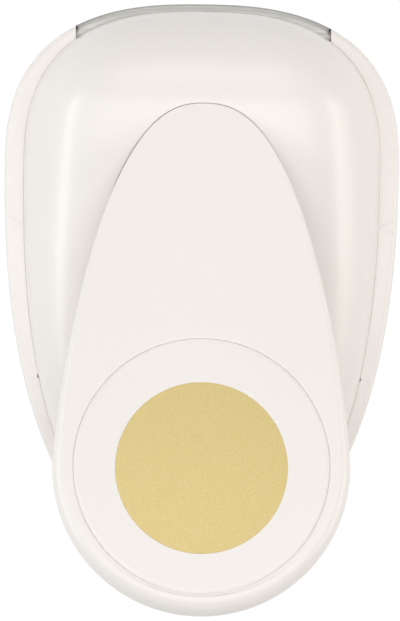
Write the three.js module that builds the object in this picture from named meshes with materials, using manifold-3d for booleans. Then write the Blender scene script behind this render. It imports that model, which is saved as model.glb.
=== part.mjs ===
// Lever circle punch, in millimetres. X runs across it, Y from the paper mouth to the lever's tail, Z up.
import * as THREE from "three";
import { mergeVertices } from "three/addons/utils/BufferGeometryUtils.js";
import Module from "manifold-3d";

const wasm = await Module();
wasm.setup();

// Shared clearances
const runningClearance = 0.3;
const seatGap = 0.3;
const cutOverrun = 2;

// The cut and where it is made
const cutDiameter = 38.1;
const dieCentreY = 50;

// Plan of the lower case: two half superellipses that meet on its widest line
const caseHalfWidth = 44.85;
const caseFrontDepth = 37.5;
const caseBackDepth = 91.8;
const caseFrontPower = 2.6;
const caseBackPower = 2.27;
const caseDraft = 2.2;

// The raised rim round the dome
const rimSideWidth = 4.4;
const rimLipWidth = 1.7;
const rimBackWidth = 3;
const rimThickness = 2;
const rimEdgeRadius = 1.2;
const seamGap = 0.3;
const domeFrontPower = 2.65;
const domeBackPower = 2.44;
const markGrooveWidth = 0.5;
const markGrooveDepth = 0.3;
const markLength = 3.2;
const markOpeningAngle = Math.PI / 7;
const notchRadius = 0.7;
const notchDepth = 1.2;
const notchY = 84.9;

// Heights of the stack, from the table up
const floorThickness = 2;
const caseWall = 2;
const footChamfer = 0.8;
const dieSeatZ = 10.5;
const dieThickness = 2;
const slotHeight = 1.2;
const guideThickness = 2;
const rimRise = 0.8;
const dieTopZ = dieSeatZ + dieThickness;
const guideBottomZ = dieTopZ + slotHeight;
const guideTopZ = guideBottomZ + guideThickness;
const rimTopZ = guideTopZ + rimRise;

// Paper mouth and the plates
const mouthInset = 15.85;
const mouthHalfWidth = caseHalfWidth - mouthInset;
const mouthReach = 14;
const spacerWeb = 1;
const throatBackY = 74;
const plateBackY = 86;
const plateCornerChamfer = 2;
const chadHoleDiameter = 46;

// Domed cover
const coverWall = 2.2;
const skirtDrop = 2.4;
const crestHeight = 21.8;
const crestFrontY = 25;
const crestFallSlope = Math.tan(THREE.MathUtils.degToRad(10));
const crestRampPower = 2.2;
const crestRampRoundness = 1.6;
const sidePower = 4.5;
const sideRoundness = 1.9;
const backEndPower = 8;
const backEndRoundness = 2;
const domeCentreY = 50;

// Pocket in the cover for the lever's nose
const pocketClearance = 0.4;
const pocketFloorDepth = 3.3;
const pocketWall = 2;
const mechanismSlotHalfWidth = 10.3;
const mechanismSlotFrontY = 22;
const mechanismSlotBackY = 57;

// Lever, in its own frame: along it from the nose, across it, and square to its flat top
const leverTilt = THREE.MathUtils.degToRad(12);
const leverNoseY = 21.8;
const leverNoseZ = 38.3;
const leverTailRadius = 33;
const leverTailCentre = 81.45;
const leverNosePower = 1.32;
const leverSidePower = 2.4;
const leverTopThickness = 3;
const leverWall = 2.2;
const leverNoseRimDepth = 3;
const leverTailRimDepth = 12;
const leverRimDepthPower = 2;
const leverNoseEdgeRadius = 0.9;
const leverTailEdgeRadius = 4;
const leverEdgeRadiusPower = 1.6;
const leverDraftSlope = Math.tan(THREE.MathUtils.degToRad(6));
const ribThickness = 1.6;
const ribSetBack = 0.6;
const ribEnd = 96;

// Round insert and gold disc in the lever's tail
const badgeRadius = 28.4;
const badgeThickness = 1.5;
const badgeEdgeRadius = 0.5;
const discSetBack = 0.45;
const discThickness = 0.6;
const discProud = 0.1;

// Hinge
const pivotY = 25.5;
const pivotZ = 28.5;
const pinDiameter = 4;
const pinChamfer = 0.5;
const lugRadius = 4.5;
const lugThickness = 4;
const lugInnerX = 5.5;
const lugRootFront = 4.6;
const lugRootBack = 15;
const earThickness = 2;
const earRadius = 4;
const earClearance = 0.5;
const bracketThickness = 1.5;
const bracketFrontY = 18.5;
const bracketBackY = 29.5;
const bracketFootReach = 8.5;
const bracketScrewInset = 2.4;
const clipOuterDiameter = 7;
const clipThickness = 0.8;
const clipMouthWidth = 2.6;
const pinEndLength = 1.2;

// Cam under the lever and the punch that it drives
const camRadius = 4;
const camHalfWidth = 5;
const camRootHalfLength = 6;
const punchRestGap = 0.3;
const punchSkirtHeight = 8.5;
const punchWall = 4;
const shearDepth = 1.5;
const armHalfSpan = 28.6;
const armWidth = 10;
const armThickness = 2.5;
const armTopZ = 28;
const armShoulderX = 15.5;
const armRootX = 13;
const blockTopZ = 25.7;
const padSeatDepth = 0.6;
const padThickness = 1.5;
const padLength = 16;
const padWidth = 9;

// Guide posts and return springs
const postX = 24.5;
const postDiameter = 3.4;
const postTailDiameter = 2.6;
const postRiseOverArm = 0.9;
const postChamfer = 0.5;
const springOuterDiameter = 8;
const springWire = 0.6;
const springTurns = 5;
const stepsPerCurl = 8;
const wireSides = 5;

// Fasteners
const screwDiameter = 3;
const screwHeadDiameter = 5.6;
const screwHeadHeight = 2;
const smallScrewDiameter = 2.4;
const smallScrewHeadDiameter = 4.4;
const smallScrewHeadHeight = 1.5;
const recessShare = 0.62;
const screwTipShare = 0.25;
const screwCrownShare = 0.33;
const recessWidth = 0.9;
const recessDepth = 1.1;
const bossDiameter = 7.4;
const counterboreDiameter = 6.4;
const counterboreDepth = 3.2;
const caseScrewLength = 18.4;
const plateScrewLength = 10.2;
const frontCaseScrewInset = 11.45;
const frontCaseScrewX = caseHalfWidth - frontCaseScrewInset;
const frontCaseScrewY = 24;
const rearCaseScrewShare = 0.446;
const rearCaseScrewX = caseHalfWidth * rearCaseScrewShare;
const rearCaseScrewY = 100;
const plateScrewFrontInset = 11.15;
const plateScrewFrontX = caseHalfWidth - plateScrewFrontInset;
const plateScrewFrontY = 40;
const plateScrewRearInset = 12.05;
const plateScrewRearX = caseHalfWidth - plateScrewRearInset;
const plateScrewRearY = 60;
const stopX = 19;
const stopDiameter = 4.6;
const stopGap = 0.3;

// Fineness of the faceted surfaces
const outlineSteps = 60;
const leverNoseSteps = 19;
const leverTailSteps = 12;
const outerRingCount = 10;
const innerRingCount = 6;
const ringCrowding = 2.2;
const roundSteps = 48;
const smallRoundSteps = 12;
const weldDistance = 1e-5;

/** A finish with its colour, roughness and metalness. */
function finish(color, roughness, metalness) {
  return new THREE.MeshStandardMaterial({ color, roughness, metalness });
}

const whitePlastic = () => finish(0xf1ede8, 0.45, 0);
const goldMetal = () => finish(0xdfcc8e, 0.35, 0.8);
const plateSteel = () => finish(0xc4bfbb, 0.4, 1);
const zincCasting = () => finish(0x9a9c9e, 0.5, 1);
const brightSteel = () => finish(0xb9bcc0, 0.3, 1);

/** Turns a closed three.js geometry into a solid that can be cut and joined. */
function solidOf(geometry) {
  const bare = geometry.index ? geometry.toNonIndexed() : geometry;
  bare.deleteAttribute("normal");
  bare.deleteAttribute("uv");
  const merged = mergeVertices(bare, weldDistance);
  const vertProperties = Float32Array.from(merged.attributes.position.array);
  const triVerts = Uint32Array.from(merged.index.array);
  return new wasm.Manifold(new wasm.Mesh({ numProp: 3, vertProperties, triVerts }));
}

/** Turns a solid back into a named mesh. */
function meshOf(name, solid, material) {
  const data = solid.getMesh();
  const geometry = new THREE.BufferGeometry();
  geometry.setAttribute("position", new THREE.BufferAttribute(Float32Array.from(data.vertProperties), 3));
  geometry.setIndex(Array.from(data.triVerts));
  geometry.computeVertexNormals();
  const mesh = new THREE.Mesh(geometry, material);
  mesh.name = name;
  return mesh;
}

/** Closed solid through a stack of rings with equal point counts, listed from the bottom ring up. */
function stackedSolid(rings) {
  const count = rings[0].length;
  const positions = [];
  const indices = [];
  const centreOf = (ring) => {
    const centre = new THREE.Vector3();
    ring.forEach((point) => centre.add(point));
    return centre.divideScalar(ring.length);
  };
  rings.flat().forEach((point) => positions.push(point.x, point.y, point.z));
  for (let level = 0; level + 1 < rings.length; level += 1) {
    for (let step = 0; step < count; step += 1) {
      const next = (step + 1) % count;
      const low = level * count;
      const high = low + count;
      indices.push(low + step, low + next, high + next, low + step, high + next, high + step);
    }
  }
  const bottomCentre = positions.length / 3;
  positions.push(...centreOf(rings[0]).toArray());
  const topCentre = bottomCentre + 1;
  positions.push(...centreOf(rings[rings.length - 1]).toArray());
  const topStart = (rings.length - 1) * count;
  for (let step = 0; step < count; step += 1) {
    const next = (step + 1) % count;
    indices.push(bottomCentre, next, step, topCentre, topStart + step, topStart + next);
  }
  const geometry = new THREE.BufferGeometry();
  geometry.setAttribute("position", new THREE.Float32BufferAttribute(positions, 3));
  geometry.setIndex(indices);
  return solidOf(geometry);
}

/** Upright prism on a plan outline. */
function prism(outline, bottomZ, topZ) {
  const at = (z) => outline.map((point) => new THREE.Vector3(point.x, point.y, z));
  return stackedSolid([at(bottomZ), at(topZ)]);
}

/** Box between two corners. */
function block(low, high) {
  const geometry = new THREE.BoxGeometry(high[0] - low[0], high[1] - low[1], high[2] - low[2]);
  geometry.translate((low[0] + high[0]) / 2, (low[1] + high[1]) / 2, (low[2] + high[2]) / 2);
  return solidOf(geometry);
}

/** Upright cylinder. */
function post(x, y, bottomZ, topZ, diameter, steps = smallRoundSteps) {
  const geometry = new THREE.CylinderGeometry(diameter / 2, diameter / 2, topZ - bottomZ, steps);
  geometry.rotateX(Math.PI / 2);
  geometry.translate(x, y, (bottomZ + topZ) / 2);
  return solidOf(geometry);
}

/** Cylinder whose axis runs across the punch. */
function crossRod(lowX, highX, y, z, diameter, steps = roundSteps / 2) {
  const geometry = new THREE.CylinderGeometry(diameter / 2, diameter / 2, highX - lowX, steps);
  geometry.rotateZ(Math.PI / 2);
  geometry.translate((lowX + highX) / 2, y, z);
  return solidOf(geometry);
}

/** Plate with a side profile in the Y-Z plane, between two places across the punch. */
function sidePlate(profile, lowX, highX) {
  const shape = new THREE.Shape(profile.map(([y, z]) => new THREE.Vector2(y, z)));
  const geometry = new THREE.ExtrudeGeometry(shape, { depth: highX - lowX, bevelEnabled: false });
  geometry.applyMatrix4(new THREE.Matrix4().set(0, 0, 1, lowX, 1, 0, 0, 0, 0, 1, 0, 0, 0, 0, 0, 1));
  return solidOf(geometry);
}

/** Plan outline of two half superellipses, drawn in by the inset. */
function planOutline(plan, inset = 0) {
  const points = [];
  for (let step = 0; step < outlineSteps; step += 1) {
    const angle = (2 * Math.PI * step) / outlineSteps;
    const across = Math.cos(angle);
    const along = Math.sin(angle);
    const power = along < 0 ? plan.frontPower : plan.backPower;
    const depth = (along < 0 ? plan.frontDepth : plan.backDepth) - inset;
    const x = (plan.halfWidth - inset) * Math.sign(across) * Math.abs(across) ** (2 / power);
    const y = caseFrontDepth + depth * Math.sign(along) * Math.abs(along) ** (2 / power);
    points.push(new THREE.Vector2(x, y));
  }
  return points;
}

/** Half the width of a plan at one place along the punch. */
function planHalfWidthAt(plan, y, inset = 0) {
  const power = y < caseFrontDepth ? plan.frontPower : plan.backPower;
  const depth = (y < caseFrontDepth ? plan.frontDepth : plan.backDepth) - inset;
  const share = Math.min(1, Math.abs(y - caseFrontDepth) / depth);
  return (plan.halfWidth - inset) * (1 - share ** power) ** (1 / power);
}

const casePlan = {
  halfWidth: caseHalfWidth,
  frontDepth: caseFrontDepth,
  backDepth: caseBackDepth,
  frontPower: caseFrontPower,
  backPower: caseBackPower,
};

const domePlan = {
  halfWidth: caseHalfWidth - rimSideWidth,
  frontDepth: caseFrontDepth - rimLipWidth,
  backDepth: caseBackDepth - rimBackWidth,
  frontPower: domeFrontPower,
  backPower: domeBackPower,
};

const caseBackY = caseFrontDepth + caseBackDepth;
const punchRadius = cutDiameter / 2;
const boreDiameter = cutDiameter + 2 * runningClearance;
const screwHole = screwDiameter + 2 * runningClearance;
const throatHalfWidth = plateScrewRearX - screwHole / 2 - spacerWeb;
const caseScrewPlaces = [
  [frontCaseScrewX, frontCaseScrewY, dieSeatZ],
  [-frontCaseScrewX, frontCaseScrewY, dieSeatZ],
  [rearCaseScrewX, rearCaseScrewY, guideTopZ],
  [-rearCaseScrewX, rearCaseScrewY, guideTopZ],
];
const plateScrewPlaces = [
  [plateScrewFrontX, plateScrewFrontY],
  [-plateScrewFrontX, plateScrewFrontY],
  [plateScrewRearX, plateScrewRearY],
  [-plateScrewRearX, plateScrewRearY],
];

/** Lower case: drafted wall, rim turned in over the plates, floor with the hole that the cut circles fall through. */
function makeBaseShell() {
  const ringAt = (inset, z) => planOutline(casePlan, inset).map((p) => new THREE.Vector3(p.x, p.y, z));
  const quarter = rimEdgeRadius * (1 - Math.SQRT1_2);
  let shell = stackedSolid([
    ringAt(caseDraft + footChamfer, 0),
    ringAt(caseDraft, footChamfer),
    ringAt(0, rimTopZ - rimEdgeRadius),
    ringAt(quarter, rimTopZ - quarter),
    ringAt(rimEdgeRadius, rimTopZ),
  ]);
  const cavityBottom = planOutline(casePlan, caseDraft + caseWall);
  const cavityTop = planOutline(casePlan, caseWall);
  const at = (outline, z) => outline.map((p) => new THREE.Vector3(p.x, p.y, z));
  const cavity = stackedSolid([at(cavityBottom, floorThickness), at(cavityTop, rimTopZ - rimThickness)]);
  shell = shell.subtract(cavity);
  const rimOpening = planOutline(domePlan, -seamGap);
  shell = shell.subtract(prism(rimOpening, dieSeatZ, rimTopZ + cutOverrun));
  const mouth = block(
    [-mouthHalfWidth, -cutOverrun, dieSeatZ],
    [mouthHalfWidth, mouthReach, rimTopZ + cutOverrun],
  );
  shell = shell.subtract(mouth);
  for (const [x, y] of plateScrewPlaces) {
    shell = shell.add(post(x, y, 0, dieSeatZ, bossDiameter));
    shell = shell.subtract(post(x, y, guideTopZ - plateScrewLength - seatGap, rimTopZ, screwHole));
  }
  for (const [x, y, topZ] of caseScrewPlaces) {
    shell = shell.add(post(x, y, 0, topZ, bossDiameter + caseWall));
    shell = shell.subtract(post(x, y, -cutOverrun, rimTopZ, screwHole));
    shell = shell.subtract(post(x, y, -cutOverrun, counterboreDepth, counterboreDiameter));
  }
  shell = shell.subtract(
    post(0, dieCentreY, -cutOverrun, floorThickness + cutOverrun, chadHoleDiameter, roundSteps),
  );
  for (const side of [-1, 1]) {
    shell = shell.subtract(alignmentMark(side));
    const notchX = planHalfWidthAt(domePlan, notchY, -seamGap);
    shell = shell.subtract(
      post(side * notchX, notchY, rimTopZ - notchDepth, rimTopZ + cutOverrun, 2 * notchRadius),
    );
  }
  return meshOf("base_shell", shell, whitePlastic());
}

/** V-shaped groove in the rim on the die's centre line, with its point at the dome. */
function alignmentMark(side) {
  const apexX = planHalfWidthAt(domePlan, dieCentreY, -seamGap) + markGrooveWidth;
  let mark = null;
  for (const lean of [-1, 1]) {
    const geometry = new THREE.BoxGeometry(markLength, markGrooveWidth, markGrooveDepth + cutOverrun);
    geometry.translate(markLength / 2, 0, (cutOverrun - markGrooveDepth) / 2);
    geometry.rotateZ(lean * markOpeningAngle);
    if (side < 0) geometry.rotateZ(Math.PI);
    geometry.translate(side * apexX, dieCentreY, rimTopZ);
    const groove = solidOf(geometry);
    mark = mark ? mark.add(groove) : groove;
  }
  return mark;
}

/** Body of a plate inside the rim, square across the back. */
function plateBody(inset, bottomZ, topZ) {
  const body = prism(planOutline(domePlan, inset), bottomZ, topZ);
  const backCut = block(
    [-caseHalfWidth, plateBackY, bottomZ - cutOverrun],
    [caseHalfWidth, caseBackY + cutOverrun, topZ + cutOverrun],
  );
  return body.subtract(backCut);
}

/** Screw holes through a plate. */
function drillPlate(plate, bottomZ, topZ) {
  let drilled = plate;
  for (const [x, y] of [...caseScrewPlaces.slice(0, 2), ...plateScrewPlaces]) {
    drilled = drilled.subtract(post(x, y, bottomZ - cutOverrun, topZ + cutOverrun, screwHole));
  }
  return drilled;
}

/** Die plate: its lip runs out through the mouth to the outline of the case. */
function makeDiePlate() {
  const bodyInset = runningClearance;
  let plate = plateBody(bodyInset, dieSeatZ, dieTopZ);
  const lipHalfWidth = mouthHalfWidth - runningClearance;
  const lipOutline = prism(planOutline(casePlan), dieSeatZ, dieTopZ);
  const lipBox = block([-lipHalfWidth, -cutOverrun, dieSeatZ], [lipHalfWidth, mouthReach, dieTopZ]);
  plate = plate.add(lipOutline.intersect(lipBox));
  for (const side of [-1, 1]) {
    const cornerY = caseFrontDepth - planFrontDepthAt(casePlan, lipHalfWidth);
    const geometry = new THREE.CylinderGeometry(
      plateCornerChamfer, plateCornerChamfer, dieThickness + 2 * cutOverrun, 4);
    geometry.rotateX(Math.PI / 2);
    geometry.translate(side * lipHalfWidth, cornerY - plateCornerChamfer / 2, (dieSeatZ + dieTopZ) / 2);
    plate = plate.subtract(solidOf(geometry));
  }
  plate = drillPlate(plate, dieSeatZ, dieTopZ);
  const bore = post(0, dieCentreY, dieSeatZ - cutOverrun, dieTopZ + cutOverrun, boreDiameter, roundSteps);
  return meshOf("die_plate", plate.subtract(bore), plateSteel());
}

/** How far in front of the widest line a plan reaches at one place across. */
function planFrontDepthAt(plan, x) {
  return plan.frontDepth * (1 - (Math.abs(x) / plan.halfWidth) ** plan.frontPower) ** (1 / plan.frontPower);
}

const guideInset = coverWall + runningClearance;

/** U-shaped shim that holds the two plates apart by the height of the paper slot. */
function makeSlotSpacer() {
  let spacer = plateBody(guideInset, dieTopZ, guideBottomZ);
  const throat = block(
    [-throatHalfWidth, -cutOverrun, dieTopZ - cutOverrun],
    [throatHalfWidth, throatBackY, guideBottomZ + cutOverrun],
  );
  spacer = drillPlate(spacer.subtract(throat), dieTopZ, guideBottomZ);
  return meshOf("slot_spacer", spacer, brightSteel());
}

const bracketOuterX = lugInnerX + lugThickness + earClearance + earThickness;
const bracketScrewX = bracketOuterX + bracketFootReach / 2;
const bracketScrewYs = [bracketFrontY + bracketScrewInset, bracketBackY - bracketScrewInset];
const bracketScrewPlaces = [-1, 1].flatMap((side) => bracketScrewYs.map((y) => [side * bracketScrewX, y]));
const smallScrewHole = smallScrewDiameter + 2 * runningClearance;

/** Guide plate above the paper slot, bored for the punch, the posts and the bracket's screws. */
function makeGuidePlate() {
  let plate = plateBody(guideInset, guideBottomZ, guideTopZ);
  plate = drillPlate(plate, guideBottomZ, guideTopZ);
  const low = guideBottomZ - cutOverrun;
  const high = guideTopZ + cutOverrun;
  plate = plate.subtract(post(0, dieCentreY, low, high, boreDiameter, roundSteps));
  for (const side of [-1, 1]) {
    plate = plate.subtract(
      post(side * postX, dieCentreY, low, high, postTailDiameter + 2 * runningClearance));
  }
  for (const [x, y] of bracketScrewPlaces) {
    plate = plate.subtract(post(x, y, low, high, smallScrewHole));
  }
  return meshOf("guide_plate", plate, plateSteel());
}

/** Height of the dome's centre line over the rim's top. */
function crestAt(y, drop) {
  const frontY = caseFrontDepth - domePlan.frontDepth;
  const top = crestHeight - drop - Math.max(0, y - crestFrontY) * crestFallSlope;
  if (y < crestFrontY) {
    const share = Math.min(1, (crestFrontY - y) / (crestFrontY - frontY - drop));
    return top * (1 - share ** crestRampPower) ** (1 / crestRampRoundness);
  }
  const backY = caseFrontDepth + domePlan.backDepth - drop;
  const share = Math.min(1, (y - crestFrontY) / (backY - crestFrontY));
  return top * (1 - share ** backEndPower) ** (1 / backEndRoundness);
}

/** Height of the dome over the table; a wall's thickness as drop gives the inner surface. */
function domeZ(x, y, drop = 0) {
  const half = planHalfWidthAt(domePlan, y, drop);
  const share = half > 0 ? Math.min(1, Math.abs(x) / half) : 1;
  return rimTopZ + crestAt(y, drop) * (1 - share ** sidePower) ** (1 / sideRoundness);
}

/** Solid under the dome, from a flat bottom, with rings that crowd towards the steep edge. */
function domeSolid(drop, bottomZ, ringCount) {
  const foot = planOutline(domePlan, drop);
  const rings = [foot.map((p) => new THREE.Vector3(p.x, p.y, bottomZ))];
  rings.push(foot.map((p) => new THREE.Vector3(p.x, p.y, rimTopZ)));
  for (let ring = 1; ring <= ringCount; ring += 1) {
    const share = ring / (ringCount + 1);
    const reach = 1 - share ** ringCrowding;
    rings.push(foot.map((p) => {
      const x = p.x * reach;
      const y = domeCentreY + (p.y - domeCentreY) * reach;
      return new THREE.Vector3(x, y, domeZ(x, y, drop));
    }));
  }
  return stackedSolid(rings);
}

/** Lever's half width at a place along it. */
function leverHalfWidthAt(along) {
  if (along <= leverTailCentre) {
    const rest = 1 - Math.max(0, along) / leverTailCentre;
    return leverTailRadius * (1 - rest ** leverNosePower) ** (1 / leverSidePower);
  }
  const past = along - leverTailCentre;
  return Math.sqrt(Math.max(0, leverTailRadius ** 2 - past ** 2));
}

const leverLength = leverTailCentre + leverTailRadius;

/** Outline of the lever in its own frame, anticlockwise from the nose, with its outward normals. */
function leverOutline() {
  const half = [];
  for (let step = 0; step <= leverNoseSteps; step += 1) {
    const along = leverTailCentre * (step / leverNoseSteps) ** 2;
    half.push([along, leverHalfWidthAt(along)]);
  }
  for (let step = 1; step <= leverTailSteps; step += 1) {
    const angle = (Math.PI / 2) * (step / leverTailSteps);
    half.push([leverTailCentre + leverTailRadius * Math.sin(angle), leverTailRadius * Math.cos(angle)]);
  }
  const right = half.map(([along, across]) => new THREE.Vector2(Math.max(0, across), along));
  right[0].x = 0;
  right[right.length - 1].x = 0;
  const left = right.slice(1, -1).reverse().map((p) => new THREE.Vector2(-p.x, p.y));
  const outline = [...right, ...left];
  return outline.map((point, index) => {
    const before = outline[(index + outline.length - 1) % outline.length];
    const after = outline[(index + 1) % outline.length];
    const along = after.clone().sub(before).normalize();
    return { point, normal: new THREE.Vector2(along.y, -along.x) };
  });
}

const leverRim = leverOutline();

/** Depth of the lever's side wall under its flat top. */
function leverRimDepthAt(along) {
  const share = Math.max(0, along) / leverLength;
  return leverNoseRimDepth + (leverTailRimDepth - leverNoseRimDepth) * share ** leverRimDepthPower;
}

/** Radius of the lever's top edge. */
function leverEdgeRadiusAt(along) {
  const share = Math.max(0, along) / leverLength;
  const growth = leverTailEdgeRadius - leverNoseEdgeRadius;
  return leverNoseEdgeRadius + growth * share ** leverEdgeRadiusPower;
}

/** Lever outline moved along its normals by inset(along), at height(along). */
function leverRing(inset, height) {
  return leverRim.map(({ point, normal }) => {
    const move = inset(point.y);
    return new THREE.Vector3(point.x - normal.x * move, point.y - normal.y * move, height(point.y));
  });
}

/** Lever outline seen from above, grown by a margin, as a plan in the case's frame. */
function leverPlan(margin) {
  return leverRim.map(({ point, normal }) => new THREE.Vector2(
    point.x + normal.x * margin,
    leverNoseY + point.y * Math.cos(leverTilt) + normal.y * margin,
  ));
}

/** Domed cover with its skirt inside the rim, the nose pocket, the mechanism slot, bosses and stops. */
function makeCover() {
  const skirtZ = rimTopZ - skirtDrop;
  const pocketFloorZ = leverNoseZ - pocketFloorDepth;
  const outside = domeSolid(0, skirtZ, outerRingCount);
  const inside = domeSolid(coverWall, skirtZ - cutOverrun, innerRingCount);
  let cover = outside.subtract(inside);
  const aboveZ = leverNoseZ + crestHeight;
  const pocketBlock = prism(leverPlan(pocketClearance + pocketWall), pocketFloorZ - pocketWall, aboveZ);
  cover = cover.add(pocketBlock.intersect(outside));
  const screwTopZ = counterboreDepth + caseScrewLength + seatGap;
  for (const [x, y] of caseScrewPlaces) {
    const boss = post(x, y, guideTopZ, aboveZ, bossDiameter);
    cover = cover.add(boss.intersect(outside));
    cover = cover.subtract(post(x, y, guideTopZ - cutOverrun, screwTopZ, screwHole));
  }
  for (const side of [-1, 1]) {
    const stop = post(side * stopX, dieCentreY, armTopZ + stopGap, aboveZ, stopDiameter);
    cover = cover.add(stop.intersect(outside));
  }
  const pocket = prism(leverPlan(pocketClearance), pocketFloorZ, aboveZ);
  const slot = block(
    [-mechanismSlotHalfWidth, mechanismSlotFrontY, guideTopZ],
    [mechanismSlotHalfWidth, mechanismSlotBackY, pocketFloorZ + seatGap / 2],
  );
  return meshOf("cover", cover.subtract(pocket.add(slot)), whitePlastic());
}

/** Place in the lever's own frame of a point of the case, as along and height. */
function inLeverFrame(y, z) {
  const dy = y - leverNoseY;
  const dz = z - leverNoseZ;
  return [
    dy * Math.cos(leverTilt) + dz * Math.sin(leverTilt),
    dz * Math.cos(leverTilt) - dy * Math.sin(leverTilt),
  ];
}

const camCentreZ = blockTopZ - padSeatDepth + padThickness + punchRestGap + camRadius;

/** Lever: hollow egg-shaped shell with a deepening rim, hinge lugs, two ribs and the cam. */
function makeLever() {
  const whole = (share) => (along) => leverEdgeRadiusAt(along) * share;
  const drafted = (along) => leverDraftSlope * (leverRimDepthAt(along) - leverEdgeRadiusAt(along));
  const rings = [leverRing(drafted, (along) => -leverRimDepthAt(along))];
  for (const turn of [0, 1 / 4, 1 / 2, 3 / 4, 1]) {
    const angle = (Math.PI / 2) * turn;
    const inset = whole(1 - Math.cos(angle));
    const drop = whole(1 - Math.sin(angle));
    rings.push(leverRing(inset, (along) => -drop(along)));
  }
  let lever = stackedSolid(rings);
  const hollow = stackedSolid([
    leverRing((along) => leverWall + drafted(along), (along) => -leverRimDepthAt(along) - cutOverrun),
    leverRing(() => leverWall, () => -leverTopThickness),
  ]);
  lever = lever.subtract(hollow);
  const [pivotAlong, pivotHeight] = inLeverFrame(pivotY, pivotZ);
  const [camAlong, camHeight] = inLeverFrame(dieCentreY, camCentreZ);
  const rootHeight = -leverTopThickness / 2;
  for (const side of [-1, 1]) {
    const [lowX, highX] = [side * lugInnerX, side * (lugInnerX + lugThickness)].sort((a, b) => a - b);
    const lug = sidePlate([
      [lugRootFront, rootHeight],
      [pivotAlong - lugRadius, pivotHeight],
      [pivotAlong + lugRadius, pivotHeight],
      [lugRootBack, rootHeight],
    ].reverse(), lowX, highX);
    lever = lever.add(lug).add(crossRod(lowX, highX, pivotAlong, pivotHeight, 2 * lugRadius));
    const ribX = side * (lugInnerX + lugThickness / 2) - ribThickness / 2;
    const foot = (along) => -leverRimDepthAt(along) + ribSetBack;
    const rib = sidePlate([
      [lugRootBack, rootHeight],
      [lugRootBack, Math.min(foot(lugRootBack), rootHeight - ribThickness)],
      [leverTailCentre / 2, foot(leverTailCentre / 2)],
      [ribEnd, foot(ribEnd)],
      [ribEnd, rootHeight],
    ], ribX, ribX + ribThickness);
    lever = lever.add(rib);
  }
  const cam = sidePlate([
    [camAlong - camRootHalfLength, rootHeight],
    [camAlong - camRadius, camHeight],
    [camAlong + camRadius, camHeight],
    [camAlong + camRootHalfLength, rootHeight],
  ], -camHalfWidth, camHalfWidth);
  lever = lever.add(cam).add(crossRod(-camHalfWidth, camHalfWidth, camAlong, camHeight, 2 * camRadius));
  const pinBore = pinDiameter + 2 * runningClearance;
  const boreHalf = lugInnerX + lugThickness + cutOverrun;
  lever = lever.subtract(crossRod(-boreHalf, boreHalf, pivotAlong, pivotHeight, pinBore));
  const seatDepth = badgeThickness + seatGap;
  lever = lever.subtract(
    post(0, leverTailCentre, -seatDepth, cutOverrun, 2 * (badgeRadius + seamGap), roundSteps));
  return meshOf("lever", lever, whitePlastic());
}

/** Closed solid of revolution about Z from points of radius and height, listed bottom to top. */
function turned(profile, steps) {
  const points = profile.map(([radius, height]) => new THREE.Vector2(radius, height));
  const geometry = new THREE.LatheGeometry(points, steps);
  geometry.rotateX(Math.PI / 2);
  return solidOf(geometry);
}

/** Round insert in the lever's tail, with a shallow seat for the gold disc. */
function makeBadge() {
  const seat = discThickness + seatGap - discProud;
  const discSeatRadius = punchRadius + seatGap;
  const bodyBottom = -badgeThickness;
  const insert = turned([
    [0, bodyBottom],
    [badgeRadius, bodyBottom],
    [badgeRadius, -badgeEdgeRadius],
    [badgeRadius - badgeEdgeRadius * (1 - Math.SQRT1_2), -badgeEdgeRadius * (1 - Math.SQRT1_2)],
    [badgeRadius - badgeEdgeRadius, 0],
    [0, 0],
  ], roundSteps);
  const discSeat = post(0, discSetBack, -seat, cutOverrun, 2 * discSeatRadius, roundSteps);
  const mesh = meshOf("lever_badge", insert.subtract(discSeat), whitePlastic());
  mesh.position.set(0, leverTailCentre, 0);
  return mesh;
}

/** Thin gold disc as large as the circle that is cut. */
function makeGoldDisc() {
  const bevel = discProud;
  const disc = turned([
    [0, discProud - discThickness],
    [punchRadius, discProud - discThickness],
    [punchRadius, discProud - bevel],
    [punchRadius - bevel, discProud],
    [0, discProud],
  ], roundSteps);
  const mesh = meshOf("gold_disc", disc, goldMetal());
  mesh.position.set(0, leverTailCentre + discSetBack, 0);
  return mesh;
}

/** Steel U bracket whose two ears carry the hinge pin. */
function makeBracket() {
  const footX = bracketOuterX + bracketFootReach;
  const floorTopZ = guideTopZ + bracketThickness;
  let bracket = block([-footX, bracketFrontY, guideTopZ], [footX, bracketBackY, floorTopZ]);
  for (const side of [-1, 1]) {
    const [lowX, highX] = [side * (bracketOuterX - earThickness), side * bracketOuterX].sort((a, b) => a - b);
    const ear = sidePlate([
      [bracketFrontY, guideTopZ],
      [bracketBackY, guideTopZ],
      [pivotY + earRadius, pivotZ],
      [pivotY - earRadius, pivotZ],
    ], lowX, highX);
    bracket = bracket.add(ear).add(crossRod(lowX, highX, pivotY, pivotZ, 2 * earRadius));
  }
  const reach = bracketOuterX + cutOverrun;
  bracket = bracket.subtract(crossRod(-reach, reach, pivotY, pivotZ, pinDiameter + 2 * runningClearance));
  for (const [x, y] of bracketScrewPlaces) {
    bracket = bracket.subtract(post(x, y, guideTopZ - cutOverrun, floorTopZ + cutOverrun, smallScrewHole));
  }
  return meshOf("pivot_bracket", bracket, brightSteel());
}

const clipInnerX = bracketOuterX + seatGap;
const pinHalfLength = clipInnerX + clipThickness + pinEndLength;

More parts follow.
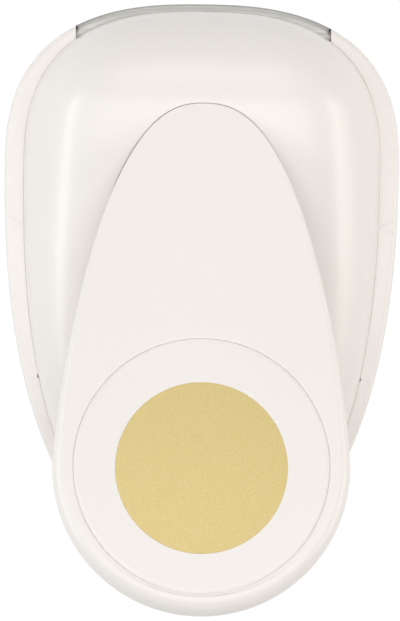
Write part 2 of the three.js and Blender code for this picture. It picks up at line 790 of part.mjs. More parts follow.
/** Hinge pin with chamfered ends and a waist at each end for its clip. */
function makePin() {
  const radius = pinDiameter / 2;
  const waist = radius - pinChamfer;
  const grooveLow = clipInnerX - seatGap / 2;
  const grooveHigh = clipInnerX + clipThickness + seatGap / 2;
  const half = [
    [radius, 0],
    [radius, grooveLow],
    [waist, grooveLow],
    [waist, grooveHigh],
    [radius, grooveHigh],
    [radius, pinHalfLength - pinChamfer],
    [waist, pinHalfLength],
    [0, pinHalfLength],
  ];
  const mirrored = half.slice(1).reverse().map(([r, h]) => [r, -h]);
  const points = [...mirrored, ...half].map(([r, h]) => new THREE.Vector2(r, h));
  const geometry = new THREE.LatheGeometry(points, smallRoundSteps);
  geometry.rotateZ(-Math.PI / 2);
  const mesh = meshOf("pivot_pin", solidOf(geometry), brightSteel());
  mesh.position.set(0, pivotY, pivotZ);
  return mesh;
}

/** Open retaining clip in a groove of the pin. */
function makeClip(name, side) {
  const bore = pinDiameter - 2 * pinChamfer + 2 * runningClearance;
  const [lowX, highX] = [side * clipInnerX, side * (clipInnerX + clipThickness)].sort((a, b) => a - b);
  const disc = crossRod(lowX, highX, pivotY, pivotZ, clipOuterDiameter);
  const hole = crossRod(lowX - cutOverrun, highX + cutOverrun, pivotY, pivotZ, bore, smallRoundSteps);
  const mouth = block(
    [lowX - cutOverrun, pivotY - clipMouthWidth / 2, pivotZ - clipOuterDiameter],
    [highX + cutOverrun, pivotY + clipMouthWidth / 2, pivotZ],
  );
  return meshOf(name, disc.subtract(hole).subtract(mouth), brightSteel());
}

const cuttingEdgeZ = guideBottomZ + runningClearance;

/** Punch: hollow-ground round cutter under a crosshead whose raised arms slide on the posts. */
function makePunchBlock() {
  const skirtTopZ = cuttingEdgeZ + punchSkirtHeight;
  let punch = post(0, dieCentreY, cuttingEdgeZ, skirtTopZ, cutDiameter, roundSteps);
  const hollowRadius = (punchRadius ** 2 + shearDepth ** 2) / (2 * shearDepth);
  const shear = new THREE.CylinderGeometry(hollowRadius, hollowRadius, 2 * cutDiameter, 4 * roundSteps);
  shear.translate(0, dieCentreY, cuttingEdgeZ + shearDepth - hollowRadius);
  punch = punch.subtract(solidOf(shear));
  const lowZ = skirtTopZ - punchWall;
  const armLowZ = armTopZ - armThickness;
  const profile = [
    [-armHalfSpan, armLowZ],
    [-armShoulderX - armThickness, armLowZ],
    [-armRootX - armThickness, skirtTopZ],
    [-armRootX, lowZ],
    [armRootX, lowZ],
    [armRootX + armThickness, skirtTopZ],
    [armShoulderX + armThickness, armLowZ],
    [armHalfSpan, armLowZ],
    [armHalfSpan, armTopZ],
    [armShoulderX, armTopZ],
    [armRootX, blockTopZ],
    [-armRootX, blockTopZ],
    [-armShoulderX, armTopZ],
    [-armHalfSpan, armTopZ],
  ];
  const shape = new THREE.Shape(profile.map(([x, z]) => new THREE.Vector2(x, z)));
  const geometry = new THREE.ExtrudeGeometry(shape, { depth: armWidth, bevelEnabled: false });
  geometry.rotateX(Math.PI / 2);
  geometry.translate(0, dieCentreY + armWidth / 2, 0);
  punch = punch.add(solidOf(geometry));
  const padHalfLength = padLength / 2 + seatGap;
  const padHalfWidth = padWidth / 2 + seatGap;
  punch = punch.subtract(block(
    [-padHalfLength, dieCentreY - padHalfWidth, blockTopZ - padSeatDepth],
    [padHalfLength, dieCentreY + padHalfWidth, blockTopZ + cutOverrun],
  ));
  for (const side of [-1, 1]) {
    const bore = postDiameter + 2 * runningClearance;
    punch = punch.subtract(
      post(side * postX, dieCentreY, armLowZ - cutOverrun, armTopZ + cutOverrun, bore));
  }
  return meshOf("punch_block", punch, zincCasting());
}

/** Hardened pad in the punch's seat, under the cam. */
function makeThrustPlate() {
  const bottomZ = blockTopZ - padSeatDepth;
  const pad = block(
    [-padLength / 2, dieCentreY - padWidth / 2, bottomZ],
    [padLength / 2, dieCentreY + padWidth / 2, bottomZ + padThickness],
  );
  return meshOf("thrust_plate", pad, brightSteel());
}

/** Stepped post: a tail in the guide plate and a longer guide above it. */
function makeGuidePost(name, side) {
  const topZ = armTopZ + postRiseOverArm;
  const radius = postDiameter / 2;
  const body = turned([
    [0, guideBottomZ + seatGap],
    [postTailDiameter / 2, guideBottomZ + seatGap],
    [postTailDiameter / 2, guideTopZ],
    [radius, guideTopZ],
    [radius, topZ - postChamfer],
    [radius - postChamfer, topZ],
    [0, topZ],
  ], smallRoundSteps);
  const mesh = meshOf(name, body, brightSteel());
  mesh.position.set(side * postX, dieCentreY, 0);
  return mesh;
}

/** Return spring as one unbroken wire, with closed flat first and last turns left out. */
function makeSpring(name, side) {
  const lowZ = guideTopZ + springWire / 2 + seatGap / 2;
  const highZ = armTopZ - armThickness - springWire / 2 - seatGap / 2;
  const radius = (springOuterDiameter - springWire) / 2;
  const steps = springTurns * stepsPerCurl;
  const pitch = (highZ - lowZ) / springTurns;
  const positions = [];
  const indices = [];
  const centres = [];
  for (let step = 0; step <= steps; step += 1) {
    const angle = (2 * Math.PI * step) / stepsPerCurl;
    const outward = new THREE.Vector3(Math.cos(angle), Math.sin(angle), 0);
    const centre = outward.clone().multiplyScalar(radius).setZ(lowZ + (pitch * step) / stepsPerCurl);
    centres.push(centre);
    for (let corner = 0; corner < wireSides; corner += 1) {
      const turn = (2 * Math.PI * corner) / wireSides;
      const point = centre.clone();
      point.addScaledVector(outward, (springWire / 2) * Math.cos(turn));
      point.z += (springWire / 2) * Math.sin(turn);
      positions.push(point.x, point.y, point.z);
    }
  }
  for (let step = 0; step < steps; step += 1) {
    for (let corner = 0; corner < wireSides; corner += 1) {
      const next = (corner + 1) % wireSides;
      const here = step * wireSides;
      const there = here + wireSides;
      indices.push(here + corner, there + next, here + next, here + corner, there + corner, there + next);
    }
  }
  for (let corner = 1; corner + 1 < wireSides; corner += 1) {
    const last = steps * wireSides;
    indices.push(0, corner, corner + 1, last, last + corner + 1, last + corner);
  }
  const geometry = new THREE.BufferGeometry();
  geometry.setAttribute("position", new THREE.Float32BufferAttribute(positions, 3));
  geometry.setIndex(indices);
  let leastGap = Infinity;
  for (let first = 0; first < centres.length; first += 1) {
    for (let second = first + stepsPerCurl / 2; second < centres.length; second += 1) {
      leastGap = Math.min(leastGap, centres[first].distanceTo(centres[second]) - springWire);
    }
  }
  console.log(`${name}: least gap of the wire to itself ${leastGap.toFixed(2)} mm`);
  const mesh = meshOf(name, solidOf(geometry), brightSteel());
  mesh.position.set(side * postX, dieCentreY, 0);
  return mesh;
}

/** Pan head screw with a cross recess; direction 1 has its head on top, -1 below. */
function makeScrew(name, x, y, seatZ, direction, sizes) {
  const { shank, head, headHeight, length } = sizes;
  const tip = shank * screwTipShare;
  const crown = headHeight * screwCrownShare;
  let screw = turned([
    [0, -length],
    [shank / 2 - tip, -length],
    [shank / 2, tip - length],
    [shank / 2, 0],
    [head / 2, 0],
    [head / 2, headHeight - crown],
    [head / 2 - crown, headHeight],
    [0, headHeight],
  ], smallRoundSteps);
  const reach = (head * recessShare) / 2;
  const depthZ = headHeight - recessDepth;
  const topZ = headHeight + cutOverrun;
  screw = screw.subtract(block([-reach, -recessWidth / 2, depthZ], [reach, recessWidth / 2, topZ]));
  screw = screw.subtract(block([-recessWidth / 2, -reach, depthZ], [recessWidth / 2, reach, topZ]));
  const mesh = meshOf(name, screw, brightSteel());
  mesh.position.set(x, y, seatZ);
  if (direction < 0) mesh.rotation.x = Math.PI;
  return mesh;
}

const mainScrew = { shank: screwDiameter, head: screwHeadDiameter, headHeight: screwHeadHeight };

/** Every fastener, each as a mesh of its own. */
function makeFasteners() {
  const screws = [];
  caseScrewPlaces.forEach(([x, y], index) => {
    const sizes = { ...mainScrew, length: caseScrewLength };
    screws.push(makeScrew(`case_screw_${index + 1}`, x, y, counterboreDepth, -1, sizes));
  });
  plateScrewPlaces.forEach(([x, y], index) => {
    const sizes = { ...mainScrew, length: plateScrewLength };
    screws.push(makeScrew(`plate_screw_${index + 1}`, x, y, guideTopZ, 1, sizes));
  });
  bracketScrewPlaces.forEach(([x, y], index) => {
    const sizes = {
      shank: smallScrewDiameter,
      head: smallScrewHeadDiameter,
      headHeight: smallScrewHeadHeight,
      length: bracketThickness + guideThickness - seatGap,
    };
    screws.push(makeScrew(`bracket_screw_${index + 1}`, x, y, guideTopZ + bracketThickness, 1, sizes));
  });
  return screws;
}

const leverGroup = new THREE.Group();
leverGroup.position.set(0, leverNoseY, leverNoseZ);
leverGroup.rotation.x = leverTilt;
leverGroup.add(makeLever(), makeBadge(), makeGoldDisc());

const punch = new THREE.Group();
punch.add(
  makeBaseShell(),
  makeDiePlate(),
  makeSlotSpacer(),
  makeGuidePlate(),
  makeCover(),
  makeBracket(),
  makePin(),
  makeClip("retaining_ring_left", 1),
  makeClip("retaining_ring_right", -1),
  makePunchBlock(),
  makeThrustPlate(),
  makeGuidePost("guide_post_left", 1),
  makeGuidePost("guide_post_right", -1),
  makeSpring("return_spring_left", 1),
  makeSpring("return_spring_right", -1),
  ...makeFasteners(),
  leverGroup,
);

// The origin is on the table under the middle of the whole punch
punch.updateMatrixWorld(true);
const reach = new THREE.Box3().setFromObject(punch, true);
const middleY = (reach.min.y + reach.max.y) / 2;
punch.position.y = -middleY;
console.log(`front edge to origin ${middleY.toFixed(3)} mm, height ${reach.max.z.toFixed(2)} mm`);

export default punch;
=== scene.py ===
"""Circle punch, dressed for its picture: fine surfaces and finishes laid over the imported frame.

Shapes are worked out in millimetres in the case's own frame: X across, Y from the paper mouth
to the lever's tail, Z up from the table. Datum turns them into the frame's metres.
"""

import logging
import math
from dataclasses import dataclass, field
from enum import Enum

import bmesh
import bpy
import numpy as np
from mathutils import Matrix, Vector

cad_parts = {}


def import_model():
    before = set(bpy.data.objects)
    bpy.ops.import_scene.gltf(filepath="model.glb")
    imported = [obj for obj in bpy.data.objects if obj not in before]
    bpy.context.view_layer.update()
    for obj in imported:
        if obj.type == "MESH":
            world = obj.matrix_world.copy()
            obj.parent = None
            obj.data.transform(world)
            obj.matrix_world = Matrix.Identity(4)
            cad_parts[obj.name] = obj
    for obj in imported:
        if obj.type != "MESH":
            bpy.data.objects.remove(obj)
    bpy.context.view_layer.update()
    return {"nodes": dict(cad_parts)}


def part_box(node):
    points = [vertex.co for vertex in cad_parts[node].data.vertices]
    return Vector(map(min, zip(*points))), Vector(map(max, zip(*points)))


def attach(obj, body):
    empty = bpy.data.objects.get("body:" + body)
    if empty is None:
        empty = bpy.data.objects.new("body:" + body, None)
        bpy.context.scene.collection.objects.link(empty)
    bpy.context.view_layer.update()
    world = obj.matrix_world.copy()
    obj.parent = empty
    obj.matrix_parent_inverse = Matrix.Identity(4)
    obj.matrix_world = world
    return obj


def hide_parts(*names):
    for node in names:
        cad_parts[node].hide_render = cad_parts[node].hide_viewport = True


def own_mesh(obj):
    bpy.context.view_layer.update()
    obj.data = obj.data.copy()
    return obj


LOG = logging.getLogger("circle_punch")
MM = 0.001
WELD = 1e-6


class Body(str, Enum):
    """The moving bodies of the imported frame."""

    CASE = "case"
    LEVER_ARM = "lever_arm"
    PUNCH = "punch"


class Cut(Enum):
    """What a second solid does to the first."""

    ADD = "UNION"
    TAKE = "DIFFERENCE"
    KEEP = "INTERSECT"


@dataclass(frozen=True)
class Datum:
    """Where the case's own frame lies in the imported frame."""

    front_y: float

    def place(self, points: np.ndarray) -> np.ndarray:
        """Moves points from the case's millimetres to the frame's metres.

        Args:
            points: Array of points, last axis X, Y, Z in millimetres.

        Returns:
            The same array in metres, with Y counted from the frame's origin.
        """
        moved = np.asarray(points, dtype=float) * MM
        moved[..., 1] += self.front_y
        return moved


@dataclass(frozen=True)
class Tilt:
    """The lever's frame: along it from the nose, across it, and square to its flat top."""

    nose_y: float = 21.8
    nose_z: float = 38.3
    angle: float = math.radians(12)

    def out(self, points: np.ndarray) -> np.ndarray:
        """Moves points of the lever's frame (across, along, height) into the case's frame.

        Args:
            points: Array of points, last axis across, along, height.

        Returns:
            Array of the same shape in the case's frame.
        """
        turned = np.array(points, dtype=float)
        along, height = points[..., 1], points[..., 2]
        turned[..., 1] = self.nose_y + along * math.cos(self.angle) - height * math.sin(self.angle)
        turned[..., 2] = self.nose_z + along * math.sin(self.angle) + height * math.cos(self.angle)
        return turned

    def into(self, y: float, z: float) -> tuple[float, float]:
        """Place in the lever's frame of a point of the case.

        Args:
            y: Place along the case.
            z: Height over the table.

        Returns:
            Along and height in the lever's frame.
        """
        dy, dz = y - self.nose_y, z - self.nose_z
        sine, cosine = math.sin(self.angle), math.cos(self.angle)
        return dy * cosine + dz * sine, dz * cosine - dy * sine


@dataclass(frozen=True)
class Plan:
    """Plan outline of two half superellipses that meet on the case's widest line."""

    half_width: float
    front_depth: float
    back_depth: float
    front_power: float
    back_power: float
    widest_y: float = 37.5

    def half_width_at(self, y: np.ndarray, inset: float = 0.0) -> np.ndarray:
        """Half width w(1 - s^p)^(1/p), where s is the share of the depth at that place.

        Args:
            y: Places along the case.
            inset: How far the outline is drawn in.

        Returns:
            Half widths at those places, 0 past the ends.
        """
        front = y < self.widest_y
        power = np.where(front, self.front_power, self.back_power)
        depth = np.where(front, self.front_depth, self.back_depth) - inset
        share = np.clip(np.abs(y - self.widest_y) / depth, 0, 1)
        return (self.half_width - inset) * (1 - share**power) ** (1 / power)

    def front_y_at(self, x: np.ndarray, inset: float = 0.0) -> np.ndarray:
        """Front edge of the outline at places across the case.

        Args:
            x: Places across the case.
            inset: How far the outline is drawn in.

        Returns:
            Y of the front edge there.
        """
        share = np.clip(np.abs(x) / (self.half_width - inset), 0, 1)
        depth = self.front_depth - inset
        return self.widest_y - depth * (1 - share**self.front_power) ** (1 / self.front_power)

    def dense(self, inset: float, count: int = 6000) -> np.ndarray:
        """Closely spaced outline, anticlockwise from the front's middle.

        Args:
            inset: How far the outline is drawn in.
            count: Number of points.

        Returns:
            Array (count + 1, 2) whose last point repeats the first.
        """
        angle = np.linspace(-math.pi / 2, 1.5 * math.pi, count + 1)
        across, along = np.cos(angle), np.sin(angle)
        power = np.where(along < 0, self.front_power, self.back_power)
        depth = np.where(along < 0, self.front_depth, self.back_depth) - inset
        x = (self.half_width - inset) * np.sign(across) * np.abs(across) ** (2 / power)
        y = self.widest_y + depth * np.sign(along) * np.abs(along) ** (2 / power)
        return np.stack([x, y], axis=1)

    def loop(self, inset: float, count: int) -> np.ndarray:
        """Outline with evenly spaced points, anticlockwise from the front's middle."""
        return evenly_spaced(self.dense(inset), count)

    def mouth_loop(self, inset: float, mouth: float, front_count: int, rest_count: int) -> np.ndarray:
        """Outline whose front part has fixed places across, so a cut there has flat ends.

        Args:
            inset: How far the outline is drawn in.
            mouth: Half width of the fixed front part.
            front_count: Points across the front part, both ends included.
            rest_count: Points round the rest, both ends included.

        Returns:
            Array (front_count + rest_count, 2): across the front, then round the back.
        """
        x = np.linspace(-mouth, mouth, front_count)
        front = np.stack([x, self.front_y_at(x, inset)], axis=1)
        dense = self.dense(inset)
        off_front = (np.abs(dense[:, 0]) > mouth) | (dense[:, 1] > self.widest_y)
        rest = np.concatenate([front[-1:], dense[off_front], front[:1]])
        return np.concatenate([front, evenly_spaced(rest, rest_count, closed=False)])


TILT = Tilt()
CASE_PLAN = Plan(44.85, 37.5, 91.8, 2.6, 2.27)
DOME_PLAN = Plan(40.45, 35.8, 88.8, 2.65, 2.44)


def evenly_spaced(line: np.ndarray, count: int, closed: bool = True) -> np.ndarray:
    """Points at equal steps of arc length along a dense line.

    Args:
        line: Dense line (n, 2); a closed one repeats its first point at the end.
        count: Number of points wanted.
        closed: Leaves out the end, because it is the start again.

    Returns:
        Array (count, 2).
    """
    run = np.concatenate([[0], np.cumsum(np.linalg.norm(np.diff(line, axis=0), axis=1))])
    at = np.linspace(0, run[-1], count, endpoint=not closed)
    return np.stack([np.interp(at, run, line[:, 0]), np.interp(at, run, line[:, 1])], axis=1)


def lifted(loop: np.ndarray, z: np.ndarray | float) -> np.ndarray:
    """Gives a plan loop its height, one value or one for each point."""
    return np.column_stack([loop, np.broadcast_to(z, len(loop))])


def quarter(count: int) -> np.ndarray:
    """Angles of a quarter turn, from 0 to a right angle, both ends included."""
    return np.linspace(0, math.pi / 2, count)


def fillet(count: int) -> list[tuple[float, float]]:
    """Steps of a rounded edge of radius 1: pairs (1 - cos t, 1 - sin t) over a quarter turn."""
    return [(1 - math.cos(turn), 1 - math.sin(turn)) for turn in quarter(count)]


def circle(x: float, y: float, radius: float, steps: int) -> np.ndarray:
    """Circle (x + r cos t, y + r sin t), anticlockwise."""
    turn = np.linspace(0, 2 * math.pi, steps, endpoint=False)
    return np.column_stack([x + radius * np.cos(turn), y + radius * np.sin(turn)])


def rectangle(x: float, y: float, half_x: float, half_y: float) -> np.ndarray:
    """Corners of an upright rectangle round its middle, anticlockwise."""
    return np.array([x, y]) + np.array([[-1, -1], [1, -1], [1, 1], [-1, 1]]) * (half_x, half_y)


def linked(name: str, data: bpy.types.ID) -> bpy.types.Object:
    """Makes an object of a mesh, camera or lamp and links it into the scene.

    Args:
        name: Name of the object.
        data: What it shows.

    Returns:
        The object.
    """
    made = bpy.data.objects.new(name, data)
    bpy.context.scene.collection.objects.link(made)
    return made


class Shaper:
    """Turns arrays of points into Blender objects whose place is in their mesh."""

    def __init__(self, datum: Datum) -> None:
        """Keeps the datum that places every mesh."""
        self.datum = datum

    def object_of(self, name: str, points: np.ndarray, faces: list) -> bpy.types.Object:
        """Makes an object from points in the case's frame.

        Args:
            name: Name of the object.
            points: Array (n, 3) in millimetres.
            faces: Tuples or arrays of vertex numbers.

        Returns:
            The linked object, at the origin and unturned.
        """
        mesh = bpy.data.meshes.new(name)
        mesh.from_pydata(self.datum.place(points), [], faces)
        mesh.update()
        return linked(name, mesh)

    def loft(self, name: str, loops: list[np.ndarray], ring: bool = False) -> bpy.types.Object:
        """Closed surface through loops of equal point counts.

        The surface between loop i and loop i + 1 is a grid of quads over both parameters. A ring
        joins the last loop to the first, otherwise each end is closed by a fan to its middle.

        Args:
            name: Name of the object.
            loops: Arrays (n, 3) in millimetres.
            ring: Joins the last loop to the first.

        Returns:
            The object, with its faces pointing outwards.
        """
        stack = np.stack(loops)
        rows, count = stack.shape[:2]
        points = stack.reshape(-1, 3)
        last_row = rows if ring else rows - 1
        row, column = np.meshgrid(np.arange(last_row), np.arange(count), indexing="ij")
        after_row, after_column = (row + 1) % rows, (column + 1) % count
        quads = np.stack([
            row * count + column,
            row * count + after_column,
            after_row * count + after_column,
            after_row * count + column,
        ], axis=-1).reshape(-1, 4).tolist()
        if not ring:
            step = np.arange(count)
            after = (step + 1) % count
            first, last = len(points), len(points) + 1
            points = np.concatenate([points, stack[:1].mean(axis=1), stack[-1:].mean(axis=1)])
            top = (rows - 1) * count
            quads += np.column_stack([np.full(count, first), after, step]).tolist()
            quads += np.column_stack([np.full(count, last), top + step, top + after]).tolist()
        made = self.object_of(name, points, quads)
        self.clean(made)
        return made

    def turned(
        self, name: str, profile: list, centre: tuple[float, float, float], steps: int = 96,
        axis: str = "Z", tilt: Tilt | None = None,
    ) -> bpy.types.Object:
        """Surface of revolution: a profile of radius and height carried round an axis.

        Args:
            name: Name of the object.
            profile: Pairs of radius and height from one end to the other.
            centre: Point that the profile's height counts from.
            steps: Steps round the axis.
            axis: "Z" for an upright axis, "X" for one across the punch.
            tilt: The lever's frame, where the piece lies in it.

        Returns:
            The object.
        """
        radius, height = np.array(profile, dtype=float).T
        angle = np.linspace(0, 2 * math.pi, steps, endpoint=False)
        round_x = radius[:, None] * np.cos(angle)
        round_y = radius[:, None] * np.sin(angle)
        up = np.broadcast_to(height[:, None], round_x.shape)
        parts = (round_x, round_y, up) if axis == "Z" else (up, round_x, round_y)
        loops = np.stack(parts, axis=-1) + np.array(centre)
        if tilt is not None:
            loops = tilt.out(loops)
        return self.loft(name, list(loops))

    def prism(
        self, name: str, outline: np.ndarray, low: float, high: float, axis: str = "Z",
        tilt: Tilt | None = None,
    ) -> bpy.types.Object:
        """Straight prism on an outline.

        Args:
            name: Name of the object.
            outline: Array (n, 2) of the two coordinates square to the axis, in their order.
            low: Lower end along the axis.
            high: Upper end along the axis.
            axis: "Z" for an upright prism, "X" for one across the punch, "Y" for one along it.
            tilt: The lever's frame, where the outline lies in it.

        Returns:
            The object, its ends single flat faces.
        """
        count, column = len(outline), "XYZ".index(axis)
        points = np.concatenate([np.insert(outline, column, end, axis=1) for end in (low, high)])
        if tilt is not None:
            points = tilt.out(points)
        step = np.arange(count)
        after = (step + 1) % count
        faces = np.column_stack([step, after, after + count, step + count]).tolist()
        faces += [step[::-1].tolist(), (step + count).tolist()]
        made = self.object_of(name, points, faces)
        self.clean(made)
        return made

    def rod(
        self, name: str, x: float, y: float, low: float, high: float, radius: float, steps: int = 64,
    ) -> bpy.types.Object:
        """Upright round rod, used as a boss or to cut a hole."""
        return self.prism(name, circle(x, y, radius, steps), low, high)

    @staticmethod
    def clean(made: bpy.types.Object) -> None:
        """Welds repeated points, drops empty faces and turns all faces outwards.

        Args:
            made: The object whose mesh is cleaned.
        """
        work = bmesh.new()
        work.from_mesh(made.data)
        bmesh.ops.remove_doubles(work, verts=work.verts, dist=WELD)
        bmesh.ops.dissolve_degenerate(work, edges=work.edges, dist=WELD / 10)
        bmesh.ops.recalc_face_normals(work, faces=work.faces)
        if work.calc_volume(signed=True) < 0:
            bmesh.ops.reverse_faces(work, faces=work.faces)
        work.to_mesh(made.data)
        work.free()

    @staticmethod
    def bake(made: bpy.types.Object) -> None:
        """Makes what an object's modifiers show its own mesh.

        Args:
            made: The object, left without modifiers.
        """
        held = bpy.context.evaluated_depsgraph_get()
        mesh = bpy.data.meshes.new_from_object(made.evaluated_get(held))
        made.modifiers.clear()
        made.data = mesh

    def combine(self, made: bpy.types.Object, others: list[bpy.types.Object], cut: Cut) -> None:
        """Adds other solids to one, or takes them out of it, and deletes them.

        Args:
            made: The solid that stays.
            others: The solids that are used up.
            cut: What they do to it.
        """
        for other in others:
            change = made.modifiers.new("combine", "BOOLEAN")
            change.object, change.operation, change.solver = other, cut.value, "EXACT"
            self.bake(made)
            bpy.data.objects.remove(other)

    def ease_edges(self, made: bpy.types.Object, width: float, limit: float = 40) -> None:
        """Rounds the sharp edges of a solid.

        Args:
            made: The solid.
            width: Width of the rounding in millimetres.
            limit: Edges that turn by more than this many degrees are rounded.
        """
        change = made.modifiers.new("ease", "BEVEL")
        change.width, change.segments = width * MM, 2
        change.limit_method, change.angle_limit = "ANGLE", math.radians(limit)
        self.bake(made)


def linear(red: int, green: int, blue: int) -> tuple[float, float, float]:
    """Light values of a screen colour of 0 to 255: ((c + 0.055) / 1.055)^2.4, or c / 12.92 if dark."""
    share = np.array([red, green, blue]) / 255
    return tuple(np.where(share <= 0.04045, share / 12.92, ((share + 0.055) / 1.055) ** 2.4).tolist())


def shader_node(
    tree: bpy.types.NodeTree, kind: str, values: dict | None = None, links: dict | None = None,
    **settings: str,
) -> bpy.types.Node:
    """Adds a node to a material or to the world.

    Args:
        tree: The nodes that it joins.
        kind: Its type.
        values: Constants by input.
        links: Outputs of other nodes by the input that they feed.
        settings: Its own settings by name.

    Returns:
        The node.
    """
    made = tree.nodes.new(kind)
    for label, choice in settings.items():
        setattr(made, label, choice)
    for label, value in (values or {}).items():
        made.inputs[label].default_value = value
    for label, source in (links or {}).items():
        tree.links.new(source, made.inputs[label])
    return made


@dataclass(frozen=True)
class Pattern:
    """A noise on a surface: its scale per metre, and the values between which its effect runs."""

    scale: float
    detail: float
    start: float = 0.3
    end: float = 0.7

    def value(self, tree: bpy.types.NodeTree, vector: bpy.types.NodeSocket) -> bpy.types.NodeSocket:
        """Adds the noise to a material.

        Args:
            tree: The material's nodes.
            vector: The coordinates that it reads.

        Returns:
            Its value.
        """
        values = {"Scale": self.scale, "Detail": self.detail}
        return shader_node(tree, "ShaderNodeTexNoise", values, {"Vector": vector}).outputs["Fac"]

    def spread(
        self, tree: bpy.types.NodeTree, vector: bpy.types.NodeSocket, low: float, high: float,
    ) -> bpy.types.NodeSocket:
        """Adds the noise and maps it from start..end to low..high, held there outside.

        Args:
            tree: The material's nodes.
            vector: The coordinates that it reads.
            low: Result at the start.
            high: Result at the end.

        Returns:
            The mapped value.
        """
        values = {"From Min": self.start, "From Max": self.end, "To Min": low, "To Max": high}
        links = {"Value": self.value(tree, vector)}
        return shader_node(tree, "ShaderNodeMapRange", values, links).outputs["Result"]


@dataclass(frozen=True)
class Finish:
    """Base of the finishes: two colours, a roughness and a relief, each led by its own noise.

    The noises read the piece's own coordinates, times the stretch.
    """

    label: str
    body: tuple
    shade: tuple
    tint: Pattern
    rough: tuple
    sheen: Pattern
    grain: Pattern
    strength: float
    depth: float = 0.00001
    metallic: float = 0.0
    ior: float = 1.5
    stretch: tuple = (1, 1, 1)

    def material(self) -> bpy.types.Material:
        """The finish's material, made on first use.

        Returns:
            The material.
        """
        known = bpy.data.materials.get(self.label)
        if known is not None:
            return known
        made = bpy.data.materials.new(self.label)
        made.use_nodes = True
        tree = made.node_tree
        shader = tree.nodes["Principled BSDF"]
        shader.inputs["Metallic"].default_value = self.metallic
        shader.inputs["IOR"].default_value = self.ior
        where = shader_node(tree, "ShaderNodeTexCoord").outputs["Object"]
        mapping = shader_node(tree, "ShaderNodeMapping", {"Scale": self.stretch}, {"Vector": where})
        vector = mapping.outputs["Vector"]
        colours = {"A": (*self.body, 1), "B": (*self.shade, 1)}
        share = {"Factor": self.tint.spread(tree, vector, 0, 1)}
        colour = shader_node(tree, "ShaderNodeMix", colours, share, data_type="RGBA")
        relief = {"Strength": self.strength, "Distance": self.depth}
        height = {"Height": self.grain.value(tree, vector)}
        bump = shader_node(tree, "ShaderNodeBump", relief, height)
        for label, source in (
            ("Base Color", colour.outputs["Result"]),
            ("Roughness", self.sheen.spread(tree, vector, *self.rough)),
            ("Normal", bump.outputs["Normal"]),
        ):
            tree.links.new(source, shader.inputs[label])
        return made


@dataclass(frozen=True)
class SatinPlastic(Finish):
    """White moulded plastic: a very faint warm mottle and a fine satin grain."""

    label: str = "satin_white_plastic"
    body: tuple = linear(245, 240, 237)
    shade: tuple = linear(243, 237, 233)
    tint: Pattern = Pattern(16, 1, 0.2, 0.8)
    rough: tuple = (0.23, 0.27)
    sheen: Pattern = Pattern(900, 1, 0.2, 0.8)
    grain: Pattern = Pattern(5200, 1)
    strength: float = 0.04
    ior: float = 1.49


@dataclass(frozen=True)
class SatinGold(Finish):
    """Satin gold foil: a very fine speckle of two golds."""

    label: str = "satin_gold"
    body: tuple = linear(221, 201, 142)
    shade: tuple = linear(210, 188, 124)
    tint: Pattern = Pattern(5200, 2, 0.38, 0.62)
    rough: tuple = (0.5, 0.62)
    sheen: Pattern = Pattern(5200, 2)
    grain: Pattern = Pattern(5200, 2)
    strength: float = 0.2
    depth: float = 0.00002
    metallic: float = 0.2


@dataclass(frozen=True)
class GroundSteel(Finish):
    """Ground steel: a noise stretched along the grinding gives its straight fine lines."""

    label: str = "ground_steel"
    body: tuple = linear(173, 171, 168)
    shade: tuple = linear(164, 162, 158)
    tint: Pattern = Pattern(1, 4, 0.35, 0.65)
    rough: tuple = (0.32, 0.48)
    sheen: Pattern = Pattern(1, 4)
    grain: Pattern = Pattern(1, 4)
    strength: float = 0.05
    metallic: float = 1.0
    stretch: tuple = (90, 5600, 5600)


@dataclass(frozen=True)
class CastZinc(Finish):
    """Die-cast zinc: dull, cloudy and slightly grainy."""

    label: str = "cast_zinc"
    body: tuple = linear(172, 173, 174)
    shade: tuple = linear(146, 147, 149)
    tint: Pattern = Pattern(160, 5)
    rough: tuple = (0.38, 0.56)
    sheen: Pattern = Pattern(900, 3)
    grain: Pattern = Pattern(1800, 3)
    strength: float = 0.25
    depth: float = 0.00004
    metallic: float = 0.9


@dataclass(frozen=True)
class PlatedSteel(Finish):
    """Bright zinc plate on small steel parts, slightly cloudy."""

    label: str = "plated_steel"
    body: tuple = linear(206, 208, 211)
    shade: tuple = linear(184, 187, 192)
    tint: Pattern = Pattern(700, 3)
    rough: tuple = (0.19, 0.32)
    sheen: Pattern = Pattern(700, 3)
    grain: Pattern = Pattern(3000, 2)
    strength: float = 0.1
    metallic: float = 1.0


@dataclass(frozen=True)
class SpringWire(PlatedSteel):
    """Drawn spring wire, a little darker and duller than the plated parts."""

    label: str = "spring_wire"
    body: tuple = linear(196, 198, 202)
    shade: tuple = linear(172, 175, 180)
    rough: tuple = (0.25, 0.38)


WHITE = SatinPlastic()
PLATE = GroundSteel()
CROSS_GROUND = GroundSteel(label="cross_ground_steel", stretch=(5600, 90, 5600))
BRIGHT = PlatedSteel()


@dataclass
class Builder:
    """What every sub-assembly shares: the shaper, and how a finished piece is handed over."""

    shaper: Shaper

    def settle(
        self, made: bpy.types.Object, finish: Finish, slot: str, body: Body, node: str,
        limit: float = 32,
    ) -> None:
        """Shades, dresses and mounts a piece that stands for a node of the frame.

        Args:
            made: The piece.
            finish: Its finish.
            slot: The record's material slot; not used.
            body: The body that it rides on.
            node: The node that it stands for.
            limit: Edges that turn by more than this many degrees stay sharp.
        """
        made.data.shade_smooth()
        made.data.set_sharp_from_angle(angle=math.radians(limit))
        made.data.materials.clear()
        made.data.materials.append(finish.material())
        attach(made, body.value)
        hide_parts(node)
        LOG.info("%s: %d faces", made.name, len(made.data.polygons))


@dataclass(frozen=True)
class Heights:
    """Heights over the table that several pieces share."""

    die_seat: float = 10.5
    die_top: float = 12.5
    guide_top: float = 15.7
    rim_top: float = 16.5
    bracket_top: float = 17.2
    counterbore: float = 3.2


